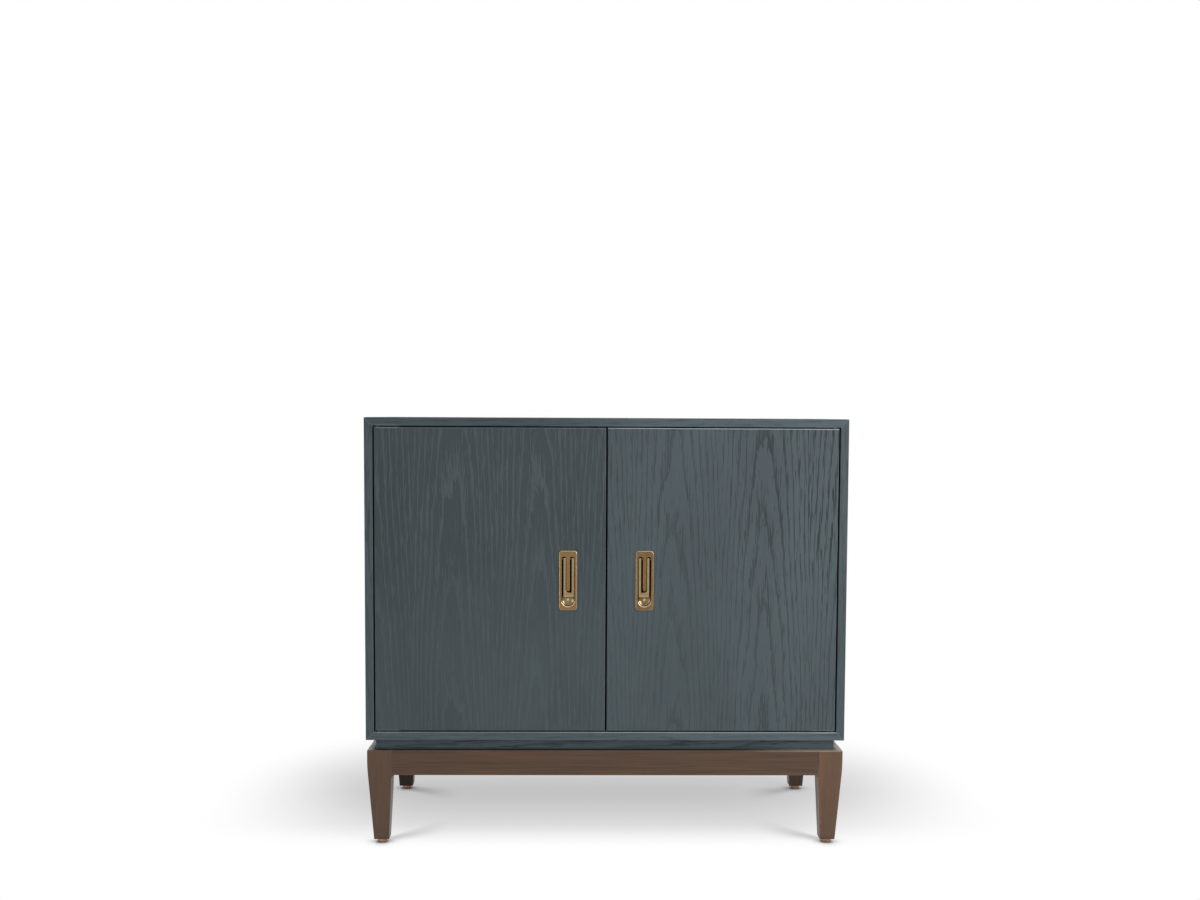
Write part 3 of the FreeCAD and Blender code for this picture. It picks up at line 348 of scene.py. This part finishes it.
boards = {
    # grain axes (across, lean, along), leaf (middle, half width), place where its depth holds, grain,
    # lightness at both ends (painted light and shade), seed, glint, gloss
    "right_door_panel": (("X", "Y", "Z"), (0.141, 0.0855), 0.6, 1.0, (1.02, 1.06), 1.0, 1.0),
    "left_door_panel": (("X", "Y", "Z"), (-0.133, 0.079), 0.68, 0.27, (0.86, 0.68), 2.0, 0.3),
    "case_top": (("Y", "Z", "X"), (0.0, 0.11), 0.1, 0.35, (1.12, 1.45), 3.0, 0.0, 0.06),
    "case_bottom": (("Y", "Z", "X"), (0.03, 0.11), 0.0, 0.35, (1.18, 1.26), 4.0, 0.7),
    "left_side": (("Y", "X", "Z"), (0.0, 0.1), 0.6, 0.6, (1.0, 1.0), 5.0),
    "right_side": (("Y", "X", "Z"), (0.02, 0.1), 0.5, 0.6, (0.94, 0.94), 6.0),
    "shelf": (("Y", "Z", "X"), (0.02, 0.1), 0.2, 0.5, (1.0, 1.0), 7.0),
    "back_panel": (("X", "Y", "Z"), (0.0, 0.15), 0.55, 0.4, (1.0, 1.0), 8.0),
    "plinth_front": (("Z", "Y", "X"), (0.19, 0.03), 0.0, 0.6, (1.2, 1.2), 9.0),
    "plinth_back": (("Z", "Y", "X"), (0.19, 0.03), 0.1, 0.6, (1.2, 1.2), 10.0),
    "plinth_left": (("Z", "X", "Y"), (0.19, 0.03), 0.0, 0.6, (1.2, 1.2), 11.0),
    "plinth_right": (("Z", "X", "Y"), (0.19, 0.03), 0.1, 0.6, (1.2, 1.2), 12.0),
}
mitred = ("case_top", "case_bottom", "left_side", "right_side")
litPoreSides = {"left_door_panel": {"across": (-0.19, -0.10), "along": (0.56, 0.42)}}
faintSides = {"right_door_panel": (0.03, 0.24, 0.5, 1.0)}   # from, to, and the grain's strength at both
slateFinishes = {name: slateVeneer("slate_" + name, *board, litPoreSide=litPoreSides.get(name),
                                   faintSide=faintSides.get(name), seams=name in mitred)
                 for name, board in boards.items()}
print("slate finishes:", len(slateFinishes))

# stained base

brownStain = {
    "dark": shade(74, 55, 42), "mid": shade(92, 71, 55), "red": shade(118, 76, 60),
    "light": shade(112, 86, 68), "deep": shade(16, 10, 6), "edge": shade(158, 146, 136),
    "noises": {   # as for the paint
        "bow": (18, 4, 0), "streak": (240, 7, 2.2), "band": (55, 5, 4.4), "fleck": (900, 60, 6.6),
    },
    "bow": 0.012,                                    # how far the grain bends, metres
    "shelterReach": 0.03, "edgeReach": 0.003,        # painted shade under the case, and wear and painted highlight along edges, metres
    "shelterShade": 0.94, "wear": 0.1,
    "endWidth": 0.006, "crownLine": (-0.0026, -0.0012),   # the open ends of the top, and its bright front edge
    "brightSide": (0.2, 0.43, 0.05, 0.9),            # painted highlight on edges that look up: from and to, metres, and its share at both
    "crownSide": (0.22, 0.42, 0.0, 0.7),             # the same for the front edge
    "fleckDepth": 0.0003,
}


def stainedWood(name, axes, redShare, toneShift, seed, crown=None):
    look, noises = brownStain, brownStain["noises"]
    finish, tree, shader = newFinish(name, {"Roughness": 0.36, "Specular IOR Level": 0.3})
    across, along = grainAxes(tree, *axes)
    across = wander(tree, across, grainNoise(tree, across, along, seed, noises["bow"], 1), look["bow"])
    streak = grainNoise(tree, across, along, seed, noises["streak"], 3)
    band = grainNoise(tree, across, along, seed, noises["band"])
    fleck = grainNoise(tree, across, along, seed, noises["fleck"], 1)
    colour = tint(tree, remap(tree, streak, 0.15, 0.75), look["dark"], look["mid"])
    colour = tint(tree, times(tree, remap(tree, band, 0.5, 0.68), redShare), colour, look["red"])
    # drawn to a lighter tone, or on the back pieces to painted shade
    colour = tint(tree, toneShift[1], colour, look[toneShift[0]])
    flecked = remap(tree, fleck, 0.62, 0.7)
    colour = tint(tree, times(tree, flecked, 0.3), colour, look["dark"])
    # painted shade under the case, but not on the ends of the top that lie beside the plinth
    place = placeOn(tree)
    plinthEnd = caseCorners["plinthHalf"]
    ends = remap(tree, calc(tree, "ABSOLUTE", place["X"]), plinthEnd, plinthEnd + look["endWidth"])
    underCaseShade = times(tree, remap(tree, openness(tree, look["shelterReach"]), 0.3, 0.8, 1.0, 0.0),
                    calc(tree, "MULTIPLY_ADD", times(tree, ends, upward(tree)), -0.9, 1.0))
    colour = tint(tree, times(tree, underCaseShade, look["shelterShade"]), colour, look["deep"])
    # painted highlight on edges that look up, growing to the right; wear everywhere
    edgeHighlight = times(tree, upward(tree), remap(tree, place["X"], *look["brightSide"]))
    wearAndHighlight = times(tree, edgeGlow(tree, look["edgeReach"], 0.5, 0.93), calc(tree, "ADD", edgeHighlight, look["wear"]))
    if crown:
        # the front's top edge shines towards the right
        line = remap(tree, place["Z"], *(crown + drop for drop in look["crownLine"]))
        wearAndHighlight = calc(tree, "MAXIMUM", wearAndHighlight, times(tree, line, remap(tree, place["X"], *look["crownSide"])))
    colour = tint(tree, wearAndHighlight, colour, look["edge"])
    satin = calc(tree, "ADD", remap(tree, streak, 0.3, 0.7, 0.33, 0.42), times(tree, upward(tree), -0.16))
    join(tree, shader, colour=colour, rough=calc(tree, "MULTIPLY_ADD", underCaseShade, 0.5, satin),
         normal=relief(tree, calc(tree, "SUBTRACT", streak, flecked), 0.1, look["fleckDepth"]))
    return finish


rails = {   # grain axes (across, lean, along), share of red, tone drawn to and its share (the dark one is painted shade on the back pieces, the light one makes the front pieces lighter), seed
    "front_apron": (("Z", "Y", "X"), 0.15, ("light", 0.0), 21.0),
    "back_apron": (("Z", "Y", "X"), 0.2, ("deep", 0.2), 22.0),
    "left_apron": (("Z", "X", "Y"), 0.2, ("light", 0.0), 23.0),
    "right_apron": (("Z", "X", "Y"), 0.2, ("light", 0.1), 24.0),
    "front_left_leg": (("X", "Y", "Z"), 0.4, ("light", 0.35), 25.0),
    "front_right_leg": (("X", "Y", "Z"), 0.8, ("light", 0.5), 26.0),
    "back_left_leg": (("X", "Y", "Z"), 0.3, ("deep", 0.62), 27.0),
    "back_right_leg": (("X", "Y", "Z"), 0.5, ("deep", 0.5), 28.0),
}
stainFinishes = {}
for name, rail in rails.items():
    crown = levels(name, 2)[1] if name.startswith("front") else None
    stainFinishes[name] = stainedWood("stain_" + name, *rail, crown)
print("stained finishes:", len(stainFinishes))

# metals and plastics

bailPin = frame["record"]["behaviour"]["joints"][2]["pos_m"]
antiqueBrass = {
    "plate": shade(128, 108, 76), "shadedPlate": shade(112, 94, 66), "bail": shade(160, 142, 108),
    "copper": shade(136, 102, 66), "bare": shade(128, 120, 94),
    "rubbed": shade(244, 224, 184), "tarnish": shade(12, 9, 5),
    "pinLevel": bailPin[2], "pullAside": abs(bailPin[0]),
    "faceHalf": (0.0155, 0.0161), "pinCover": (0.0022, 0.0034),   # the plate's flat, and the metal over the pin
    "channelHalf": 0.0121, "channelTop": 0.0043,     # the channel round the bail
    "rimStart": (0.001, 0.0018),                     # the border, out from the channel
    "scoopDrop": 0.0781, "scoopReach": 0.0121,       # the finger scoop: middle below the pin, and radius
    "dishEdge": (-0.0022, -0.0012), "dishMiddle": (-0.0115, -0.0085),   # these and the lip: out from its circle
    "lipStart": (-0.0002, 0.0), "lipEnd": (0.0006, 0.0013), "lipDrop": 0.006,
    "legEdges": (0.00945, -0.00615), "legShade": 0.0015,   # the bail's edges by its wide gaps, and their band of painted shade
    "barDrop": 0.0655, "barFade": 0.003,             # top of the bail's bar, below the pin
    "gapReach": 0.009, "edgeReach": 0.0018,          # tarnish and painted shade in gaps, and wear and painted highlight along edges, metres
    "brushed": (2600, 900, 90), "scratchDepth": 0.0002,
}


def overPin(tree, aside, level):
    # 0 on the thin metal in front of the pull's pin, 1 elsewhere
    look = antiqueBrass
    away = calc(tree, "ABSOLUTE", calc(tree, "SUBTRACT", level, look["pinLevel"]))
    border = remap(tree, calc(tree, "ABSOLUTE", aside), *look["faceHalf"])
    return calc(tree, "MAXIMUM", remap(tree, away, *look["pinCover"]), border)


def onRim(tree, aside, level):
    # 1 on the plate's border, 0 beside the bail
    look = antiqueBrass
    beside = calc(tree, "SUBTRACT", calc(tree, "ABSOLUTE", aside), look["channelHalf"])
    over = calc(tree, "SUBTRACT", level, look["pinLevel"] + look["channelTop"])
    under = calc(tree, "SUBTRACT", look["pinLevel"] - look["scoopDrop"] - look["scoopReach"], level)
    out = calc(tree, "MAXIMUM", beside, calc(tree, "MAXIMUM", over, under))
    return remap(tree, out, *look["rimStart"])


def scoop(tree, aside, level):
    # 1 in the polished dish, 1 on the lip below it for a painted highlight, and the painted highlight in the
    # middle of the dish
    look = antiqueBrass
    low = calc(tree, "SUBTRACT", look["pinLevel"] - look["scoopDrop"], level)
    out = calc(tree, "SUBTRACT", distance(tree, aside, low), look["scoopReach"])
    lipHighlight = times(tree, remap(tree, out, *look["lipStart"]), remap(tree, out, *look["lipEnd"], 1.0, 0.0),
                remap(tree, low, 0.0, look["lipDrop"], 0.0, 0.85))
    return remap(tree, out, *look["dishEdge"], 1.0, 0.0), lipHighlight, remap(tree, out, *look["dishMiddle"], 0.5, 0.0)


def legBands(tree, aside, level):
    # 1 along the edge of each leg of the bail that its wide gap shades, on the front only
    look = antiqueBrass
    outer, inner = (remap(tree, aside, edge - look["legShade"], edge - look["legShade"] * 0.3)
                    for edge in look["legEdges"])
    barTop = look["pinLevel"] - look["barDrop"]
    overBar = remap(tree, level, barTop, barTop + look["barFade"])
    inner = times(tree, inner, calc(tree, "LESS_THAN", aside, 0.0), overBar)
    facing = put(tree, "SeparateXYZ", {0: put(tree, "TexCoord").outputs["Normal"]}).outputs["Y"]
    return times(tree, calc(tree, "MAXIMUM", outer, inner), remap(tree, facing, -0.8, -0.3, 1.0, 0.0))


def brassFinish(name, ground, copperShare, dished):
    look = antiqueBrass
    finish, tree, shader = newFinish(name, {"Metallic": 1.0, "Roughness": 0.3})
    spot, place = spotOn(tree), placeOn(tree)
    level = place["Z"]
    aside = calc(tree, "SUBTRACT", calc(tree, "ABSOLUTE", place["X"]), look["pullAside"])
    cloud = speckle(tree, spot, 3, scale=90)
    colour = tint(tree, times(tree, remap(tree, cloud, 0.35, 0.65), copperShare), ground, look["copper"])
    # tarnish and painted shade in hollows and beside the bail, wear and painted highlight along the border
    hollow = openness(tree, look["gapReach"])
    sharp = times(tree, edgeGlow(tree, look["edgeReach"]), overPin(tree, aside, level))
    rim = onRim(tree, aside, level)
    dark = calc(tree, "MAXIMUM", remap(tree, hollow, 0.35, 0.92, 1.0, 0.0),
                times(tree, sharp, calc(tree, "MULTIPLY_ADD", rim, -0.7, 0.7)))
    wearAndHighlight = times(tree, sharp, times(tree, rim, remap(tree, hollow, 0.35, 0.65, 0.0, 0.85)))
    brushed = put(tree, "Mapping", {"Vector": spot, "Scale": look["brushed"]})
    scratch = speckle(tree, brushed.outputs[0])
    rough = remap(tree, scratch, 0.3, 0.7, 0.22, 0.36)
    if dished:
        dish, lipHighlight, dishHighlight = scoop(tree, aside, level)
        bare = times(tree, dish, remap(tree, speckle(tree, spot, scale=260), 0.46, 0.6))
        colour = tint(tree, bare, colour, look["bare"])
        dark = times(tree, dark, calc(tree, "MULTIPLY_ADD", bare, -0.6, 1.0))
        # painted highlights on the scoop's lower lip and in the middle of the dish
        wearAndHighlight = calc(tree, "MAXIMUM", wearAndHighlight, calc(tree, "MAXIMUM", lipHighlight, dishHighlight))
        rough = calc(tree, "MULTIPLY_ADD", dish, -0.2, rough)
    else:
        # painted shade along the bail's legs by their wide gaps
        dark = calc(tree, "MAXIMUM", dark, times(tree, legBands(tree, aside, level), 0.95))
    colour = tint(tree, wearAndHighlight, tint(tree, dark, colour, look["tarnish"]), look["rubbed"])
    join(tree, shader, colour=colour, rough=rough, normal=relief(tree, scratch, 0.06, look["scratchDepth"]))
    return finish


def plainFinish(name, colours, settings, scale, bump):
    finish, tree, shader = newFinish(name, settings)
    cloud = speckle(tree, spotOn(tree), 4, scale=scale)
    colour = tint(tree, remap(tree, cloud, 0.35, 0.65), *colours)
    rough = settings["Roughness"]
    join(tree, shader, colour=colour, rough=remap(tree, cloud, 0.3, 0.7, rough * 0.85, rough * 1.15),
         normal=relief(tree, cloud, bump, 0.0002))
    return finish


slotFinishes = {
    "antique_brass": brassFinish("antique_brass", antiqueBrass["plate"], 0.8, True),
    "plated_steel": plainFinish("plated_steel", (shade(150, 148, 143), shade(176, 174, 169)),
                                {"Metallic": 1.0, "Roughness": 0.38}, 700, 0.05),
    "bronze": plainFinish("bronze", (shade(136, 102, 78), shade(182, 142, 110)),
                          {"Metallic": 0.9, "Roughness": 0.26}, 300, 0.08),
    "black_steel": plainFinish("black_steel", (shade(40, 40, 42), shade(54, 54, 56)),
                               {"Metallic": 0.6, "Roughness": 0.5}, 700, 0.08),
    "washer_plastic": plainFinish("washer_plastic", (shade(34, 34, 35), shade(42, 42, 43)),
                                  {"Roughness": 0.6}, 900, 0.05),
    "catch_plastic": plainFinish("catch_plastic", (shade(62, 50, 42), shade(74, 61, 52)),
                                 {"Roughness": 0.45}, 900, 0.1),
    "magnet": plainFinish("magnet", (shade(58, 58, 60), shade(72, 72, 74)), {"Roughness": 0.7}, 1200, 0.2),
    "plain_wood": stainedWood("block_wood", ("X", "Y", "Z"), 0.1, ("light", 0.6), 33.0),
}
print("hardware finishes:", len(slotFinishes))

slots = {row["node"]: row["material_slot"] for row in frame["record"]["subparts"]}
bailFinish = brassFinish("bail_brass", antiqueBrass["bail"], 0.25, False)
# the right plate is painted darker: a shaded copy of the plate's brass
shadedRightPlate = brassFinish("right_plate_brass", antiqueBrass["shadedPlate"], 0.8, True)
ownFinishes = {**slateFinishes, **stainFinishes, "left_pull_bail": bailFinish, "right_pull_bail": bailFinish,
               "right_pull_plate": shadedRightPlate}
for name, piece in nodes.items():
    piece.data.materials.clear()
    piece.data.materials.append(ownFinishes.get(name) or slotFinishes[slots[name]])
print("finishes assigned")

# screws and bolts: turned heads with a driver's recess

fasteners = {   # where the heads face, head height, shank radius and recess
    "back_panel_screws": ((0, 1, 0), 0.0016, 0.0015, "cross"),
    "catch_screws": ((0, 0, -1), 0.0015, 0.0015, "cross"),
    "left_strike_screws": ((0, 1, 0), 0.0015, 0.0015, "cross"),
    "right_strike_screws": ((0, 1, 0), 0.0015, 0.0015, "cross"),
    "left_pull_screws": ((0, 1, 0), 0.0022, 0.002, "cross"),
    "right_pull_screws": ((0, 1, 0), 0.0022, 0.002, "cross"),
    "base_bolts": ((0, 0, -1), 0.004, 0.003, "hexagon"),
    "left_case_leaf_screws": ("inward", 0.0, 0.0013, "cross"),
    "right_case_leaf_screws": ("inward", 0.0, 0.0013, "cross"),
    "left_door_leaf_screws": ("outward", 0.0, 0.0013, "cross"),
    "right_door_leaf_screws": ("outward", 0.0, 0.0013, "cross"),
}


def islands(name):
    # corners of each separate solid in a CAD node
    shape = bmesh.new()
    shape.from_mesh(nodes[name].data)
    bmesh.ops.remove_doubles(shape, verts=shape.verts, dist=1e-6)
    left, boxes = set(shape.verts), []
    while left:
        found = [left.pop()]
        for vertex in found:
            beyond = [edge.other_vert(vertex) for edge in vertex.link_edges]
            fresh = {v for v in beyond if v in left}
            left -= fresh
            found.extend(fresh)
        sides = list(zip(*(v.co for v in found)))
        boxes.append((Vector(map(min, sides)), Vector(map(max, sides))))
    shape.free()
    return sorted(boxes, key=lambda box: tuple(box[0]))


def headProfile(radius, height, shank, length, recess):
    # from the tip up to the crown; the head's seat is at zero, or its face if it lies flush
    tip = [(0, -length), (shank * 0.6, -length), (shank, -length + 0.0015)]
    if not height:
        return tip + [(shank, shank - radius), (radius, -0.0001), (radius - 0.0001, 0), (0, 0)]
    if recess == "hexagon":
        eased = 0.0007
        return tip + [(shank, 0), (radius, 0), (radius, height - eased), (radius - eased, height), (0, height)]
    dome = [(1.0, 0.0), (1.0, 0.35), (0.94, 0.62), (0.78, 0.84), (0.5, 0.96), (0.0, 1.0)]
    return tip + [(shank, 0)] + [(radius * r, height * h) for r, h in dome]


def turned(profile, steps=36):
    shape = bmesh.new()
    line = [shape.verts.new((r, 0, h)) for r, h in profile]
    edges = [shape.edges.new(pair) for pair in zip(line, line[1:])]
    bmesh.ops.spin(shape, geom=line + edges, cent=(0, 0, 0), axis=(0, 0, 1), angle=2 * math.pi, steps=steps)
    bmesh.ops.remove_doubles(shape, verts=shape.verts, dist=1e-7)
    bmesh.ops.recalc_face_normals(shape, faces=shape.faces)
    return shape


def recessShape(recess, radius, top, depth):
    # the driver's hollow, narrower at its floor
    if recess == "hexagon":
        turns = [n * math.pi / 3 for n in range(6)]
        corners = [(math.cos(turn) * radius * 0.44, math.sin(turn) * radius * 0.44) for turn in turns]
    else:
        reach, half = radius * 0.6, radius * 0.14
        arm = [(half, -reach), (half, -half), (reach, -half), (reach, half), (half, half), (half, reach)]
        corners = arm[1:] + [(-x, -y) for x, y in arm] + arm[:1]
    shape = bmesh.new()
    low, high = ([shape.verts.new((x * share, y * share, h)) for x, y in corners]
                 for share, h in ((0.8, top - depth), (1.05, top + depth)))
    shape.faces.new(reversed(low))
    shape.faces.new(high)
    for n in range(len(corners)):
        m = (n + 1) % len(corners)
        shape.faces.new((low[n], low[m], high[m], high[n]))
    bmesh.ops.recalc_face_normals(shape, faces=shape.faces)
    return shape


def meshOf(name, shape):
    mesh = bpy.data.meshes.new(name)
    shape.to_mesh(mesh)
    shape.free()
    return mesh


def hollowed(name, head, recess):
    holders = [bpy.data.objects.new(name, meshOf(name, shape)) for shape in (head, recess)]
    for holder in holders:
        bpy.context.collection.objects.link(holder)
    cut = holders[0].modifiers.new("recess", "BOOLEAN")
    cut.operation, cut.solver, cut.object = "DIFFERENCE", "EXACT", holders[1]
    made = holders[0].evaluated_get(bpy.context.evaluated_depsgraph_get())
    result = bpy.data.meshes.new_from_object(made)
    for holder in holders:
        bpy.data.objects.remove(holder)
    return result


def headSide(faces, height, level):
    # screws that lie flush face up or down, by which half of the case they are in
    if height:
        return Vector(faces)
    inLower = level < (caseCorners["foot"] + caseCorners["crown"]) / 2
    return Vector((0, 0, 1 if inLower == (faces == "inward") else -1))


def screwSet(name, faces, height, shank, recess):
    boxes = islands(name)
    axis = max(range(3), key=lambda n: abs(faces[n])) if height else 2
    size = boxes[0][1] - boxes[0][0]
    radius = size[(axis + 1) % 3] / 2
    head = turned(headProfile(radius, height, shank, size[axis] - height, recess))
    depth = height * 0.6 if height else radius * 0.36
    pattern = hollowed(name, head, recessShape(recess, radius, height, depth))
    whole = bmesh.new()
    for n, (low, high) in enumerate(boxes):
        middle = (low + high) / 2
        toward = headSide(faces, height, middle.z)
        middle[axis] = high[axis] - height if toward[axis] > 0 else low[axis] + height
        turn = toward.to_track_quat("Z", "Y").to_matrix().to_4x4() @ Matrix.Rotation(n * 2.4, 4, "Z")
        screw = pattern.copy()
        screw.transform(Matrix.Translation(middle) @ turn)
        whole.from_mesh(screw)
        bpy.data.meshes.remove(screw)
    mesh = meshOf(name + "_turned", whole)
    mesh.shade_smooth()
    mesh.set_sharp_from_angle(angle=math.radians(32))
    mesh.materials.clear()
    mesh.materials.append(slotFinishes[slots[name]])
    piece = bpy.data.objects.new(name + "_turned", mesh)
    bpy.context.collection.objects.link(piece)
    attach(piece, nodes[name]["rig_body"])
    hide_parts(name)


for name, fastener in fasteners.items():
    screwSet(name, *fastener)
print("fasteners turned:", len(fasteners))

# floor, world and lamps

studio = {
    "floorSide": 30.0, "floorTone": 0.9,
    "seenTone": 0.14, "floorGlow": 0.85,     # the floor as the camera sees it
    "whiteFrom": 0.0, "whiteAt": 0.4,        # metres out from the cabinet: the floor fades to white
    "whiteAhead": 2.0, "whiteBehind": 0.7,   # how much sooner in front, and later behind
    "shadeFrom": -0.07,                      # the shade under the cabinet thins forward of this line
    "softReach": 0.45, "contactReach": 0.045,
    "footHalf": 0.012,                       # metres from a glide's edge to the middle of its foot
    "footShade": 0.34,                       # painted shade that runs inward from each foot
    "footStart": 0.025, "footEnd": (0.02, 0.14), "footSpread": (0.6, 0.012),   # its length and growing width
    "footSlopes": (0.75, -0.4),              # how it turns, front and back
    "ambient": 0.14,
    "lamps": {   # place, width, height, watts
        "key": ((1.9, -1.7, 1.3), 1.5, 1.5, 44),
        "fill": ((-2.0, -1.7, 0.35), 1.5, 1.5, 11),
        "top": ((0.7, -0.7, 3.0), 2.6, 2.2, 25),
    },
    "aim": (0.0, 0.0, 0.45),
}


def seenDirectly(tree):
    rays = put(tree, "LightPath").outputs
    seen = calc(tree, "MAXIMUM", rays["Is Camera Ray"], rays["Is Glossy Ray"])
    return calc(tree, "MAXIMUM", seen, rays["Is Transmission Ray"])


def whiteShare(tree, look, place):
    # 0 under and beside the cabinet, 1 out where the floor is white
    beside = calc(tree, "SUBTRACT", calc(tree, "ABSOLUTE", place["X"]), cadBox[1][0])
    ahead = calc(tree, "SUBTRACT", look["shadeFrom"], place["Y"])
    behind = calc(tree, "SUBTRACT", place["Y"], cadBox[1][1])
    beside, ahead, behind = (calc(tree, "MAXIMUM", gap, 0.0) for gap in (beside, ahead, behind))
    before = calc(tree, "ADD", times(tree, ahead, look["whiteAhead"]), times(tree, behind, look["whiteBehind"]))
    return remap(tree, distance(tree, beside, before), look["whiteFrom"], look["whiteAt"])


def footShades(tree, look, place):
    # 1 on the open floor, less in the painted shade that runs inward from each foot
    front, back = levels("glides", 1)
    inward = calc(tree, "SUBTRACT", levels("glides", 0)[1], calc(tree, "ABSOLUTE", place["X"]))
    fade = times(tree, remap(tree, inward, 0.0, look["footStart"]),
                 remap(tree, inward, *look["footEnd"], 1.0, 0.0))
    spread = calc(tree, "MULTIPLY_ADD", inward, *look["footSpread"])
    clear = 1.0
    for row, slope in zip((front + look["footHalf"], back - look["footHalf"]), look["footSlopes"]):
        off = calc(tree, "SUBTRACT", calc(tree, "SUBTRACT", place["Y"], row), times(tree, inward, slope))
        share = calc(tree, "DIVIDE", calc(tree, "ABSOLUTE", off), spread)
        band = times(tree, remap(tree, share, 0.0, 1.0, look["footShade"], 0.0), fade)
        clear = times(tree, calc(tree, "SUBTRACT", 1.0, band), clear)
    return clear


def makeFloor(look):
    half = look["floorSide"] / 2
    mesh = bpy.data.meshes.new("floor")
    corners = [(-half, -half, 0), (half, -half, 0), (half, half, 0), (-half, half, 0)]
    mesh.from_pydata(corners, [], [(0, 1, 2, 3)])
    floor = bpy.data.objects.new("floor", mesh)
    bpy.context.collection.objects.link(floor)
    finish, tree, shader = newFinish("floor", {"Roughness": 0.9, "Specular IOR Level": 0.0})
    seen, place = seenDirectly(tree), placeOn(tree)
    white = whiteShare(tree, look, place)
    # painted shadow in the floor's glow: soft under and beside the cabinet, darker towards the back, dark where
    # the glides touch, and from each foot
    softShade = remap(tree, openness(tree, look["softReach"]), 0.3, 0.95, 0.86, 1.0)
    contactShade = remap(tree, openness(tree, look["contactReach"]), 0.1, 0.9)
    backShade = remap(tree, place["Y"], cadBox[0][1], cadBox[1][1], 1.0, 0.7)
    near = times(tree, softShade, backShade, look["floorGlow"])
    shadedGlow = put(tree, "MapRange", {"Value": white, "To Min": near, "To Max": 1.0}).outputs[0]
    shadedGlow = times(tree, shadedGlow, contactShade, footShades(tree, look, place))
    pale, faint = ((look[tone],) * 3 + (1,) for tone in ("floorTone", "seenTone"))
    shader.inputs["Emission Color"].default_value = (1, 1, 1, 1)
    join(tree, shader, colour=tint(tree, seen, pale, tint(tree, white, faint, (0, 0, 0, 1))))
    tree.links.new(times(tree, seen, shadedGlow), shader.inputs["Emission Strength"])
    mesh.materials.append(finish)


def makeWorld(look):
    world = bpy.data.worlds.new("studio")
    bpy.context.scene.world = world
    world.use_nodes = True
    tree = world.node_tree
    seen = seenDirectly(tree)
    strength = put(tree, "MapRange", {"Value": seen, "To Min": look["ambient"], "To Max": 1.0}).outputs[0]
    tree.links.new(strength, tree.nodes["Background"].inputs["Strength"])
    tree.nodes["Background"].inputs["Color"].default_value = (1, 1, 1, 1)


def makeLamp(name, place, width, height, watts, aim):
    lamp = bpy.data.lights.new(name, "AREA")
    lamp.shape = "RECTANGLE"
    lamp.size, lamp.size_y, lamp.energy = width, height, watts
    holder = bpy.data.objects.new(name, lamp)
    holder.location = place
    holder.rotation_mode = "QUATERNION"
    holder.rotation_quaternion = (Vector(aim) - Vector(place)).to_track_quat("-Z", "Y")
    bpy.context.collection.objects.link(holder)


makeFloor(studio)
makeWorld(studio)
for lampName, (place, width, height, watts) in studio["lamps"].items():
    makeLamp(lampName, place, width, height, watts, studio["aim"])
bpy.context.scene.view_settings.view_transform = "Standard"
print("studio lit")
